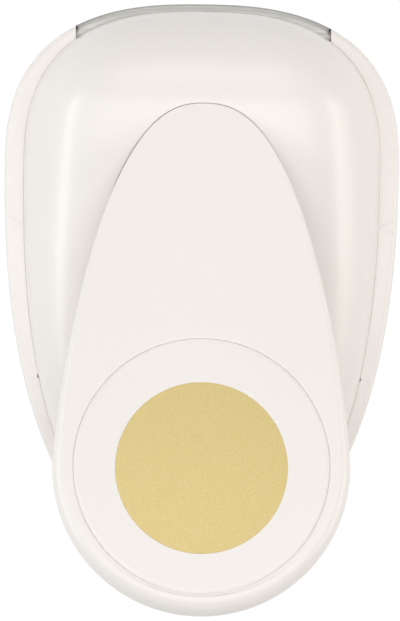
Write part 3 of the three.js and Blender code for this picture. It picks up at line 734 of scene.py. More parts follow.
@dataclass(frozen=True)
class Layout:
    """Places in the plan that several pieces share, as X and Y; the pin's is its Y and height."""

    punch_y: float = 50.0
    punch_radius: float = 19.05
    post_x: float = 24.5
    pivot: tuple = (25.5, 28.5)
    tail_along: float = 81.45
    screw_hole: float = 1.8
    front_screws: tuple = ((33.4, 24), (-33.4, 24))
    back_screws: tuple = ((20, 100), (-20, 100))
    plate_screws: tuple = ((33.7, 40), (-33.7, 40), (32.8, 60), (-32.8, 60))
    bracket_screws: tuple = ((-16.25, 20.9), (-16.25, 27.1), (16.25, 20.9), (16.25, 27.1))

    @property
    def case_screws(self) -> tuple:
        """The screws through lower case and cover, the front pair first."""
        return self.front_screws + self.back_screws


HEIGHTS = Heights()
LAYOUT = Layout()
SIDES = (-1, 1)


@dataclass
class LowerCase(Builder):
    """The white lower case: drafted wall, raised rim, open mouth and floor."""

    wall: float = 2.0
    draft: float = 2.2
    foot_radius: float = 0.8
    rim_radius: float = 1.2
    rim_thickness: float = 2.0
    seam: float = 0.03
    lip_width: float = 0.35
    lip_depth: float = 0.05
    mouth: float = 29.0
    floor: float = 2.0
    hole_radius: float = 23.0
    hole_chamfer: float = 0.3
    blend: float = 0.12
    boss_radius: float = 4.7
    plate_boss_radius: float = 3.7
    boss_foot: float = 0.5
    blind_foot: float = 5.2
    cut_foot: float = -1.0
    cut_top: float = 20.0
    counterbore_radius: float = 3.2
    mark_width: float = 0.35
    mark_depth: float = 0.25
    mark_length: float = 3.5
    mark_lean: float = math.pi / 7
    notch_y: float = 84.9
    notch_radius: float = 0.55
    notch_inset: float = 0.25
    notch_depth: float = 1.2
    front_count: int = 64
    rest_count: int = 300

    def ring(self, plan: Plan, inset: float) -> np.ndarray:
        """Outline with fixed places across the mouth."""
        return plan.mouth_loop(inset, self.mouth, self.front_count, self.rest_count)

    def opening(self, grown: float) -> np.ndarray:
        """Ring round the dome's foot, a seam's width outside it and grown further."""
        return self.ring(DOME_PLAN, -self.seam - grown)

    def in_mouth(self) -> np.ndarray:
        """True for the points of a ring that lie across the mouth."""
        return np.arange(self.front_count + self.rest_count) < self.front_count

    def section(self) -> list[np.ndarray]:
        """Rings round the wall's closed section, from the foot over the rim and back by the floor.

        Returns:
            The rings; those of the rim drop to the plate's seat across the mouth.
        """
        top, seat = HEIGHTS.rim_top, HEIGHTS.die_seat
        mouth = self.in_mouth()

        def at(loop: np.ndarray, z: float | np.ndarray, ceiling: float = seat) -> np.ndarray:
            """Ring at a height, held under the ceiling across the mouth."""
            height = np.broadcast_to(z, len(loop)).astype(float)
            return lifted(loop, np.where(mouth, np.minimum(height, ceiling), height))

        rings = []
        for gone, left in fillet(5):
            inset = self.draft + self.foot_radius * left
            rings.append(at(self.ring(CASE_PLAN, inset), self.foot_radius * gone))
        shoulder = top - self.rim_radius
        for share in (0.35, 0.7):
            z = self.foot_radius + (shoulder - self.foot_radius) * share
            rings.append(at(self.ring(CASE_PLAN, self.draft * (1 - share)), z))
        for gone, left in fillet(9):
            z = shoulder + self.rim_radius * (1 - left)
            rings.append(at(self.ring(CASE_PLAN, self.rim_radius * gone), z))
        outer = self.ring(CASE_PLAN, self.rim_radius)
        inner = self.opening(self.lip_width)
        rings += [at(outer + (inner - outer) * share, top) for share in (0.25, 0.5, 0.75)]
        for gone, left in fillet(6):
            rings.append(at(self.opening(self.lip_width * left), top - self.lip_depth * gone))
        edge = self.opening(0)
        wall_inside = self.ring(CASE_PLAN, self.wall)
        centre = np.array([0, CASE_PLAN.widest_y])
        lead = np.linalg.norm(edge - centre, axis=1) - np.linalg.norm(wall_inside - centre, axis=1)
        fall = np.clip(lead / self.blend + 1, 0, 1)
        under = top - self.rim_thickness - fall * (top - self.rim_thickness - seat + self.lip_width)
        ledge = seat - self.rim_thickness
        rings.append(at(edge, under, ledge))
        rings.append(at(wall_inside, under, ledge))
        low_inside = self.ring(CASE_PLAN, self.draft + self.wall)
        rings.append(at(low_inside, self.floor + 1))
        rings.append(at(self.ring(CASE_PLAN, self.draft + self.wall + 1), self.floor))
        middle, edge = np.array([0, LAYOUT.punch_y]), self.hole_chamfer
        bearing = low_inside - middle
        bearing = bearing / np.linalg.norm(bearing, axis=1, keepdims=True)
        for wider, z in ((edge, 0), (0, -edge), (0, edge - self.floor), (edge, -self.floor)):
            rings.append(at(middle + bearing * (self.hole_radius + wider), self.floor + z))
        return rings

    def marks(self) -> list[bpy.types.Object]:
        """Cutters of the V grooves on the die's centre line and of the notches at the seam's ends.

        Returns:
            The cutters.
        """
        top, over = HEIGHTS.rim_top, HEIGHTS.rim_top + 1
        seam_x, notch_x = DOME_PLAN.half_width_at(np.array([LAYOUT.punch_y, self.notch_y]), -self.seam)
        cutters = []
        for side in SIDES:
            apex = np.array([side * (seam_x + self.mark_width / 2), LAYOUT.punch_y])
            for lean in SIDES:
                along = np.array([side * math.cos(self.mark_lean), lean * math.sin(self.mark_lean)])
                across = np.array([-along[1], along[0]]) * self.mark_width / 2
                end = apex + along * self.mark_length
                corners = np.array([apex - across, end - across, end + across, apex + across])
                cutters.append(self.shaper.prism("mark", corners, top - self.mark_depth, over))
            x = side * (notch_x - self.notch_inset)
            low = top - self.notch_depth
            cutters.append(self.shaper.rod("notch", x, self.notch_y, low, over, self.notch_radius, 32))
        return cutters

    def build(self) -> None:
        """Makes the lower case with its bosses, screw holes, marks and notches."""
        shell = self.shaper.loft("base_shell_moulded", self.section(), ring=True)
        rod, bosses = self.shaper.rod, []
        for places, top, radius in (
            (LAYOUT.plate_screws, HEIGHTS.die_seat, self.plate_boss_radius),
            (LAYOUT.front_screws, HEIGHTS.die_seat, self.boss_radius),
            (LAYOUT.back_screws, HEIGHTS.guide_top, self.boss_radius),
        ):
            bosses += [rod("boss", x, y, self.boss_foot, top, radius) for x, y in places]
        self.shaper.combine(shell, bosses, Cut.ADD)
        under, over, radius = self.cut_foot, self.cut_top, LAYOUT.screw_hole
        holes = [rod("hole", x, y, self.blind_foot, over, radius) for x, y in LAYOUT.plate_screws]
        for x, y in LAYOUT.case_screws:
            holes.append(rod("hole", x, y, under, over, radius))
            holes.append(rod("hole", x, y, under, HEIGHTS.counterbore, self.counterbore_radius))
        self.shaper.combine(shell, holes + self.marks(), Cut.TAKE)
        self.settle(shell, WHITE, "white_plastic", Body.CASE, "base_shell")


@dataclass
class Cover(Builder):
    """The domed upper case with the pocket for the lever's nose.

    The flare of the pocket's lip is its first and last angle and its number of steps.
    """

    wall: float = 2.2
    skirt: float = 2.4
    crest: float = 21.8
    crest_front: float = 25.0
    fall: float = math.tan(math.radians(10))
    ease: float = 2.6
    ramp_power: float = 2.2
    ramp_roundness: float = 1.6
    side_power: float = 4.5
    side_roundness: float = 1.9
    back_power: float = 8.0
    back_roundness: float = 2.0
    centre_y: float = 50.0
    crowding: float = 2.0
    rings: int = 56
    inner_rings: int = 24
    stations: int = 300
    pocket_gap: float = 0.02
    pocket_floor: float = 35.0
    pocket_wall: float = 2.0
    pocket_least: float = 0.2
    lip_radius: float = 0.08
    flare: tuple = (0.2, 1.2, 5)
    flare_width: float = 1.6
    cutter_lift: float = 0.5
    cutter_top: float = 61.8
    ledge: float = 0.06
    insert_inset: float = 0.5
    insert_top: float = 70.0
    boss_radius: float = 3.7
    stop_x: float = 19.0
    stop_y: float = 50.0
    stop_foot: float = 28.3
    stop_radius: float = 2.3
    slot_y: float = 39.5
    slot_half_width: float = 10.3
    slot_half_length: float = 17.5
    slot_over: float = 0.15
    hole_ends: tuple = (12.0, 21.9)

    def crest_at(self, y: np.ndarray, drop: float) -> np.ndarray:
        """Height of the centre line over the rim.

        In front of the crest it is top(1 - s^a)^(1/b) with s counted forwards; behind it the top
        falls at a steady slope, eased in, and ends in a round of a high power.

        Args:
            y: Places along the case.
            drop: Thickness that the surface lies inside the outer one.

        Returns:
            Heights there.
        """
        front_y = DOME_PLAN.widest_y - DOME_PLAN.front_depth
        back_y = DOME_PLAN.widest_y + DOME_PLAN.back_depth - drop
        past = self.ease * np.logaddexp(0, (y - self.crest_front) / self.ease)
        top = self.crest - drop - past * self.fall
        ahead = np.clip((self.crest_front - y) / (self.crest_front - front_y - drop), 0, 1)
        behind = np.clip((y - self.crest_front) / (back_y - self.crest_front), 0, 1)
        front = (1 - ahead**self.ramp_power) ** (1 / self.ramp_roundness)
        back = (1 - behind**self.back_power) ** (1 / self.back_roundness)
        return top * front * back

    def height(self, x: np.ndarray, y: np.ndarray, drop: float = 0.0) -> np.ndarray:
        """Height of the dome over the table, crest(y)(1 - s^c)^(1/d) across the case.

        Args:
            x: Places across.
            y: Places along.
            drop: Thickness that the surface lies inside the outer one.

        Returns:
            Heights there.
        """
        half = np.maximum(DOME_PLAN.half_width_at(y, drop), 1e-6)
        share = np.clip(np.abs(x) / half, 0, 1)
        across = (1 - share**self.side_power) ** (1 / self.side_roundness)
        return HEIGHTS.rim_top + self.crest_at(y, drop) * across

    def skin(self, drop: float, count: int, edge: float = 0.0) -> list[np.ndarray]:
        """Rings of one side of the dome, from its foot to its middle, crowded at the steep edge.

        Args:
            drop: Depth of the side inside the outer one.
            count: Number of steps between the rings.
            edge: How far the first ring is drawn in from the foot.

        Returns:
            The rings.
        """
        foot = DOME_PLAN.loop(drop + edge, self.stations)
        middle = np.array([0, self.centre_y])
        rings = []
        for share in np.linspace(0, 1, count + 1, endpoint=False):
            loop = middle + (foot - middle) * (1 - share**self.crowding)
            rings.append(lifted(loop, self.height(loop[:, 0], loop[:, 1], drop)))
        return rings

    def envelope(self, drop: float) -> bpy.types.Object:
        """Solid under the dome, a depth inside its surface.

        Args:
            drop: The depth.

        Returns:
            The solid, down to the skirt's lower edge.
        """
        foot = lifted(DOME_PLAN.loop(drop, self.stations), HEIGHTS.rim_top - self.skirt)
        return self.shaper.loft("envelope", [foot, *self.skin(drop, self.inner_rings)])

    def pocket(self, lever: "Lever") -> bpy.types.Object:
        """Cutter of the nose pocket, flared at the dome's surface so that the edge left is round.

        Args:
            lever: The lever whose plan the pocket follows.

        Returns:
            The cutter.
        """
        floor, gap, lip = self.pocket_floor, self.pocket_gap, self.lip_radius
        base = lever.plan_loop(gap)
        surface = np.maximum(self.height(*base.T), floor + lip + self.pocket_least)
        rings = [lifted(base, floor), lifted(base, surface - lip)]
        for turn in np.linspace(*self.flare):
            loop = lever.plan_loop(gap + lip * (1 - math.cos(turn)))
            rings.append(lifted(loop, surface - lip * (1 - math.sin(turn))))
        wide = lever.plan_loop(gap + lip * self.flare_width)
        rings += [lifted(wide, surface + self.cutter_lift), lifted(wide, self.cutter_top)]
        return self.shaper.loft("pocket", rings)

    def build(self, lever: "Lever") -> None:
        """Makes the cover with its pocket, mechanism slot, bosses and stops.

        Args:
            lever: The lever that lies in the pocket.
        """
        shaper, top = self.shaper, HEIGHTS.rim_top
        outer = self.skin(0, self.rings, self.ledge)
        inner = self.skin(self.wall, self.inner_rings)
        foot = DOME_PLAN.loop(0, self.stations)
        inside_foot = DOME_PLAN.loop(self.wall, self.stations)
        low, lip = top - self.skirt, self.ledge
        rim = [lifted(inside_foot, low), lifted(DOME_PLAN.loop(lip / 2, self.stations), low)]
        rim += [lifted(foot, low + lip / 2), lifted(foot, top - lip)]
        for gone, left in fillet(4)[1:]:
            edge = DOME_PLAN.loop(lip / 2 * gone, self.stations)
            rim.append(lifted(edge, top - lip * left - lip / 2))
        rim.append(lifted(DOME_PLAN.loop(lip, self.stations), top - lip / 2))
        cover = shaper.loft("cover_moulded", inner[::-1] + rim + outer)
        rod, high, low = shaper.rod, self.insert_top, HEIGHTS.guide_top
        around = lever.plan_loop(self.pocket_gap + self.pocket_wall)
        insert = shaper.prism("pocket_wall", around, self.pocket_floor - self.pocket_wall, high)
        added = [rod("boss", x, y, low, high, self.boss_radius) for x, y in LAYOUT.case_screws]
        added += [
            rod("stop", side * self.stop_x, self.stop_y, self.stop_foot, high, self.stop_radius)
            for side in SIDES]
        shaper.combine(insert, added, Cut.ADD)
        shaper.combine(insert, [self.envelope(self.insert_inset)], Cut.KEEP)
        shaper.combine(cover, [insert], Cut.ADD)
        slot = rectangle(0, self.slot_y, self.slot_half_width, self.slot_half_length)
        holes = [shaper.prism("slot", slot, low, self.pocket_floor + self.slot_over)]
        holes += [rod("hole", x, y, *self.hole_ends, LAYOUT.screw_hole) for x, y in LAYOUT.case_screws]
        shaper.combine(cover, [self.pocket(lever), *holes], Cut.TAKE)
        self.settle(cover, WHITE, "white_plastic", Body.CASE, "cover", 28)


@dataclass
class Lever(Builder):
    """The hollow egg-shaped lever with its hinge lugs, ribs and cam."""

    tail_radius: float = 33.0
    tail_centre: float = LAYOUT.tail_along
    nose_power: float = 1.32
    side_power: float = 2.4
    top_thickness: float = 3.0
    wall: float = 2.2
    nose_depth: float = 3.0
    tail_depth: float = 12.0
    depth_power: float = 2.0
    nose_edge: float = 0.35
    tail_edge: float = 4.0
    edge_power: float = 1.6
    draft: float = math.tan(math.radians(6))
    seat_radius: float = 28.43
    seat_depth: float = 1.8
    seat_lip: float = 0.25
    seat_drop: float = 0.1
    edge_lead: float = 0.15
    foot_radius: float = 0.35
    inner_radius: float = 0.8
    stations: int = 320
    cam: tuple = (50.0, 30.9)
    lug_radius: float = 4.5
    lug_inner: float = 5.5
    lug_thickness: float = 4.0
    lug_front: float = 4.6
    rib_front: float = 15.0
    rib_back: float = 96.0
    rib_half: float = 0.8
    rib_gap: float = 0.6
    rib_least: float = 0.1
    cam_radius: float = 4.0
    cam_half_root: float = 6.0
    cam_half_width: float = 5.0
    bore_radius: float = 2.3
    bore_half: float = 12.0

    @property
    def length(self) -> float:
        """Length of the flat top from nose to tail."""
        return self.tail_centre + self.tail_radius

    def outline(self) -> tuple[np.ndarray, np.ndarray]:
        """Evenly spaced outline in the lever's frame, with its outward normals.

        The side is R(1 - (1 - u/c)^a)^(1/b) from the nose to the tail's centre, then a half circle.

        Returns:
            Points (n, 2) as across and along, and unit normals (n, 2).
        """
        along = self.tail_centre * np.linspace(0, 1, 3000) ** 3
        rest = 1 - along / self.tail_centre
        side = self.tail_radius * (1 - rest**self.nose_power) ** (1 / self.side_power)
        angle = quarter(1500)[1:]
        tail = self.tail_radius * np.column_stack([np.cos(angle), np.sin(angle)])
        half = np.concatenate([np.column_stack([side, along]), tail + (0, self.tail_centre)])
        whole = np.concatenate([half, half[::-1] * np.array([-1, 1])])
        points = evenly_spaced(whole, self.stations)
        run = np.roll(points, -1, axis=0) - np.roll(points, 1, axis=0)
        run /= np.linalg.norm(run, axis=1, keepdims=True)
        return points, np.column_stack([run[:, 1], -run[:, 0]])

    def depth_at(self, along: np.ndarray) -> np.ndarray:
        """Depth of the side wall, from the nose's to the tail's as a power of the share along."""
        share = np.clip(along / self.length, 0, 1)
        return self.nose_depth + (self.tail_depth - self.nose_depth) * share**self.depth_power

    def edge_at(self, along: np.ndarray) -> np.ndarray:
        """Radius of the top edge, from the nose's to the tail's as a power of the share along."""
        share = np.clip(along / self.length, 0, 1)
        return self.nose_edge + (self.tail_edge - self.nose_edge) * share**self.edge_power

    def plan_loop(self, margin: float) -> np.ndarray:
        """Outline as seen from above, in the case's frame.

        Args:
            margin: How far it is grown along its normals.

        Returns:
            Array (n, 2) of X and Y.
        """
        points, normals = self.outline()
        along = TILT.nose_y + points[:, 1] * math.cos(TILT.angle)
        return np.column_stack([points[:, 0], along]) + normals * margin

    def shell(self) -> bpy.types.Object:
        """The hollow shell: seat, flat top, rounded edge, drafted wall and inner surface.

        Returns:
            The closed shell.
        """
        points, normals = self.outline()
        along = points[:, 1]
        depth, edge = self.depth_at(along), self.edge_at(along)
        lean = self.draft * (depth - edge)
        middle = np.array([0, self.tail_centre])
        bearing = points - middle
        bearing = bearing / np.linalg.norm(bearing, axis=1, keepdims=True)

        def ring(inset: np.ndarray | float, height: np.ndarray | float) -> np.ndarray:
            """Outline drawn in along its normals, at a height in the lever's frame."""
            return lifted(points - normals * np.reshape(inset, (-1, 1)), height)

        def disc(radius: float, height: float) -> np.ndarray:
            """Circle round the tail's centre with the outline's bearings."""
            return lifted(middle + bearing * radius, height)

        rings = [disc(self.seat_radius * share, -self.seat_depth) for share in (0.5, 1)]
        for gone, left in fillet(4):
            rings.append(disc(self.seat_radius + self.seat_lip * gone, -self.seat_drop * left))
        flat_edge, flat_start = ring(edge, 0), rings[-1]
        rings += [flat_start + (flat_edge - flat_start) * share for share in (0.03, 0.3, 0.6, 0.85)]
        rings.append(ring(edge + self.edge_lead, 0))
        for gone, left in fillet(11):
            rings.append(ring(edge * left, -edge * gone))
        foot, hollow = self.foot_radius, self.inner_radius
        rings.append(ring(lean / 2, -(depth + edge) / 2))
        for gone, left in fillet(4):
            rings.append(ring(lean + foot * gone, foot * left - depth))
        for gone, left in fillet(4)[::-1]:
            rings.append(ring(lean + self.wall - foot * gone, foot * left - depth))
        for gone, left in fillet(4):
            rings.append(ring(self.wall + hollow * gone, -self.top_thickness - hollow * left))
        last = rings[-1][:, :2] - middle
        rings += [lifted(middle + last * share, -self.top_thickness) for share in (0.66, 0.33)]
        return self.shaper.loft("lever_moulded", [TILT.out(loop) for loop in rings])

    def arm_outline(self, place: tuple, radius: float, front: float, back: float) -> np.ndarray:
        """Side view of a lug or of the cam: a round end joined to a root under the flat top.

        Args:
            place: Y and Z of the round end's centre in the case's frame.
            radius: Its radius.
            front: Where the root starts along the lever.
            back: Where the root ends.

        Returns:
            Closed outline of along and height.
        """
        along, height = TILT.into(*place)
        turn = np.linspace(0, math.pi, 33)
        round_end = np.column_stack([along - radius * np.cos(turn), height - radius * np.sin(turn)])
        root = -self.top_thickness / 2
        return np.concatenate([round_end, [[back, root], [front, root]]])

    def build(self) -> None:
        """Makes the lever and takes the pin's bore out of its lugs."""
        lever, shaper, added = self.shell(), self.shaper, []
        root = -self.top_thickness / 2
        lug = self.arm_outline(LAYOUT.pivot, self.lug_radius, self.lug_front, self.rib_front)
        along = np.linspace(self.rib_front, self.rib_back, 40)
        least = -self.top_thickness - self.rib_least
        foot = np.minimum(self.rib_gap - self.depth_at(along), least)
        rib = np.column_stack([along, foot])
        rib = np.concatenate([rib, [[self.rib_back, root], [self.rib_front, root]]])
        for side in SIDES:
            ends = sorted((side * self.lug_inner, side * (self.lug_inner + self.lug_thickness)))
            added.append(shaper.prism("lug", lug, *ends, axis="X", tilt=TILT))
            middle, half = sum(ends) / 2, self.rib_half
            added.append(shaper.prism("rib", rib, middle - half, middle + half, axis="X", tilt=TILT))
        cam_along, _ = TILT.into(*self.cam)
        reach, half = self.cam_half_root, self.cam_half_width
        cam = self.arm_outline(self.cam, self.cam_radius, cam_along - reach, cam_along + reach)
        added.append(shaper.prism("cam", cam, -half, half, axis="X", tilt=TILT))
        shaper.combine(lever, added, Cut.ADD)
        bore = [(self.bore_radius, end * self.bore_half) for end in SIDES]
        cutter = shaper.turned("bore", bore, (0, *LAYOUT.pivot), 48, axis="X")
        shaper.combine(lever, [cutter], Cut.TAKE)
        self.settle(lever, WHITE, "white_plastic", Body.LEVER_ARM, "lever", 28)


@dataclass
class TailDisc(Builder):
    """The round white insert in the lever's tail and the gold disc in its middle."""

    centre: float = LAYOUT.tail_along
    disc_set_back: float = 0.45
    radius: float = 28.4
    thickness: float = 1.5
    foot: float = 0.2
    edge: float = 1.7
    edge_turn: float = math.radians(38)
    disc_radius: float = LAYOUT.punch_radius
    disc_thickness: float = 0.6
    disc_proud: float = 0.1
    disc_edge: tuple = ((0.05, 0.07), (0.14, 0.1))
    gap: float = 0.01
    well_lip: float = 0.03

    def build(self) -> None:
        """Makes the insert and the disc as turned pieces in the lever's frame."""
        middle, disc_middle = (0, self.centre, 0), (0, self.centre + self.disc_set_back, 0)
        low, foot, rim = -self.thickness, self.foot, self.disc_radius
        profile = [(0, low), (self.radius - foot, low), (self.radius, low + foot)]
        flat = self.radius - self.edge * math.sin(self.edge_turn)
        profile += [
            (flat + self.edge * math.sin(turn), -self.edge * (1 - math.cos(turn)))
            for turn in np.linspace(self.edge_turn, 0, 9)]
        profile += [(flat - 0.2, 0), (rim + 1.5, 0), (0, 0)]
        insert = self.shaper.turned("lever_badge_moulded", profile, middle, 288, tilt=TILT)
        top, low = self.disc_proud, self.disc_proud - self.disc_thickness
        hole, seat, lip = rim + self.gap, low - self.gap, self.well_lip
        well = [(0, seat), (hole, seat), (hole, -lip), (hole + lip, 0), (hole + lip + 1, 1), (0, 1)]
        cutter = self.shaper.turned("well", well, disc_middle, 288, tilt=TILT)
        self.shaper.combine(insert, [cutter], Cut.TAKE)
        self.settle(insert, WHITE, "white_plastic", Body.LEVER_ARM, "lever_badge")
        foil = [(0, low), (rim, low), (rim, 0)]
        foil += [(rim - inward, height) for inward, height in self.disc_edge] + [(0, top)]
        disc = self.shaper.turned("gold_disc_satin", foil, disc_middle, 288, tilt=TILT)
        self.settle(disc, SatinGold(), "gold", Body.LEVER_ARM, "gold_disc")


@dataclass
class DiePlate(Builder):
    """The steel die plate whose bare lip shows in the paper mouth."""

    body_inset: float = 0.3
    lip_half: float = 28.97
    chamfer: float = 0.5
    round_width: float = 1.6
    round_depth: float = 0.75
    foot_radius: float = 0.25
    back_y: float = 86.0
    front_y: float = 30.0
    bore_radius: float = 19.35
    cut_ends: tuple = (8.0, 15.0)

    def outline(self, inset: float) -> np.ndarray:
        """Plan of the plate: lip on the case's outline, body inside the rim, square back.

        Args:
            inset: How far the lip's front edge is drawn in.

        Returns:
            Closed outline (n, 2), anticlockwise.
        """
        x = np.linspace(-self.lip_half + self.chamfer, self.lip_half - self.chamfer, 90)
        lip = np.column_stack([x, CASE_PLAN.front_y_at(x) + inset])
        corner = float(CASE_PLAN.front_y_at(np.array(self.lip_half)))
        body = DOME_PLAN.loop(self.body_inset, 1200)
        beside = (np.abs(body[:, 0]) > self.lip_half) | (body[:, 1] > self.front_y)
        body = body[(body[:, 1] < self.back_y) & beside]
        right = body[body[:, 0] > 0]
        left = body[body[:, 0] < 0]
        right = right[np.argsort(right[:, 1])][::4]
        left = left[np.argsort(-left[:, 1])][::4]
        square = float(DOME_PLAN.half_width_at(np.array(self.back_y), self.body_inset))
        step = [[self.lip_half, corner + self.chamfer + inset], [self.lip_half, float(right[0, 1])]]
        back = [[square, self.back_y], [-square, self.back_y]]
        mirrored = [[-across, along] for across, along in step[::-1]]
        return np.concatenate([lip, step, right, back, left, mirrored])

    def build(self) -> None:
        """Makes the plate with its rolled lip, its bore and its screw holes."""
        low, high = HEIGHTS.die_seat, HEIGHTS.die_top
        rings = []
        for gone, left in fillet(4):
            loop = self.outline(self.foot_radius * left)
            rings.append(lifted(loop, low + self.foot_radius * gone))
        for gone, left in fillet(12):
            loop = self.outline(self.round_width * gone)
            rings.append(lifted(loop, high - self.round_depth * left))
        plate = self.shaper.loft("die_plate_ground", rings)
        rod = self.shaper.rod
        holes = [rod("bore", 0, LAYOUT.punch_y, *self.cut_ends, self.bore_radius, 192)]
        for x, y in LAYOUT.front_screws + LAYOUT.plate_screws:
            holes.append(rod("hole", x, y, *self.cut_ends, LAYOUT.screw_hole))
        self.shaper.combine(plate, holes, Cut.TAKE)
        self.settle(plate, PLATE, "plate_steel", Body.CASE, "die_plate")


@dataclass
class PunchBlock(Builder):
    """The round cutter under its crosshead, whose arms are an outline of X and height."""

    edge_z: float = 14.0
    skirt: float = 8.5
    shear: float = 1.5
    shear_angle: float = 0.2
    arm_half: float = 5.0
    arms: tuple = (
        (28.6, 25.5), (18, 25.5), (15.5, 22.5), (13, 18.5), (-13, 18.5), (-15.5, 22.5), (-18, 25.5),
        (-28.6, 25.5), (-28.6, 28), (-15.5, 28), (-13, 25.7), (13, 25.7), (15.5, 28), (28.6, 28))
    seat_half_width: float = 8.3
    seat_half_length: float = 4.8
    seat_z: float = 25.1
    bore_radius: float = 2.0
    grind_half: float = 30.0
    grind_foot: float = 8.0
    cut_foot: float = 20.0
    cut_top: float = 30.0
    eased: float = 0.15

    def build(self) -> None:
        """Makes the cutter, hollow-ground below, with the crosshead's arms, seat and bores."""
        shaper, radius, foot, y = self.shaper, LAYOUT.punch_radius, self.edge_z, LAYOUT.punch_y
        block = shaper.rod("punch_block_cast", 0, y, foot, foot + self.skirt, radius, 192)
        hollow = (radius**2 + self.shear**2) / (2 * self.shear)
        arc = np.linspace(-self.shear_angle, self.shear_angle, 65)
        ground = np.column_stack([hollow * np.sin(arc), foot + self.shear - hollow * (1 - np.cos(arc))])
        corners = [[ground[end, 0], self.grind_foot] for end in (-1, 0)]
        ground = np.concatenate([ground, corners])
        cutter = shaper.prism("grind", ground, y - self.grind_half, y + self.grind_half, axis="Y")
        shaper.combine(block, [cutter], Cut.TAKE)
        arms = shaper.prism("arms", np.array(self.arms), y - self.arm_half, y + self.arm_half, axis="Y")
        shaper.combine(block, [arms], Cut.ADD)
        seat = rectangle(0, y, self.seat_half_width, self.seat_half_length)
        holes = [shaper.prism("seat", seat, self.seat_z, self.cut_top)]
        holes += [
            shaper.rod(
                "bore", side * LAYOUT.post_x, y, self.cut_foot, self.cut_top, self.bore_radius, 48)
            for side in SIDES]
        shaper.combine(block, holes, Cut.TAKE)
        shaper.ease_edges(block, self.eased)
        self.settle(block, CastZinc(), "zinc", Body.PUNCH, "punch_block")


@dataclass
class Guides(Builder):
    """The two posts, a profile of radius and height, with their return springs."""

    coil_radius: float = 3.7
    wire: float = 0.6
    turns: float = 5.0
    low: float = 16.15
    high: float = 25.05
    arm_z: float = 25.5
    stroke: float = 5.0
    steps: int = 40
    sides: int = 12
    post: tuple = (
        (0, 14), (1.1, 14), (1.3, 14.2), (1.3, 15.7), (1.7, 15.7), (1.7, 28.4), (1.55, 28.7),
        (1.2, 28.9), (0, 28.9))

    def coil(self, name: str, side: int) -> bpy.types.Object:
        """One wire round a helix: its centre is R(cos t, sin t) with a steady rise.

        Args:
            name: Name of the piece.
            side: 1 for the left spring, -1 for the right one.

        Returns:
            The wire as a closed tube.
        """
        count = int(self.turns * self.steps) + 1
        angle = np.linspace(0, 2 * math.pi * self.turns, count)
        rise = np.linspace(self.low, self.high, count)
        outward = np.stack([np.cos(angle), np.sin(angle), np.zeros(count)], axis=1)
        middle = np.array([side * LAYOUT.post_x, LAYOUT.punch_y, 0]) + outward * self.coil_radius
        middle[:, 2] = rise
        turn = np.linspace(0, 2 * math.pi, self.sides, endpoint=False)
        radial = outward[:, None, :] * np.cos(turn)[None, :, None]
        upright = np.array([0, 0, 1.0]) * np.sin(turn)[None, :, None]
        tube = middle[:, None, :] + (radial + upright) * self.wire / 2
        return self.shaper.loft(name, list(tube))

    def build(self) -> None:
        """Makes both posts and both springs."""
        for word, side in (("left", 1), ("right", -1)):
            spring = self.coil(f"return_spring_{word}_wound", side)
            self.settle(spring, SpringWire(), "spring_wire", Body.CASE, f"return_spring_{word}", 50)
            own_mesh(spring)
            foot = (side * LAYOUT.post_x, LAYOUT.punch_y, 0)
            post = self.shaper.turned(f"guide_post_{word}_turned", self.post, foot, 48)
            self.settle(post, BRIGHT, "bright_steel", Body.CASE, f"guide_post_{word}")


@dataclass(frozen=True)
class Screw:
    """A kind of pan head screw: diameters of shank and head, the head's height, length under it."""

    shank: float
    head: float
    height: float
    length: float


CASE_SCREW = Screw(3, 5.6, 2, 18.4)
PLATE_SCREW = Screw(3, 5.6, 2, 10.2)
BRACKET_SCREW = Screw(2.4, 4.4, 1.5, 3.2)


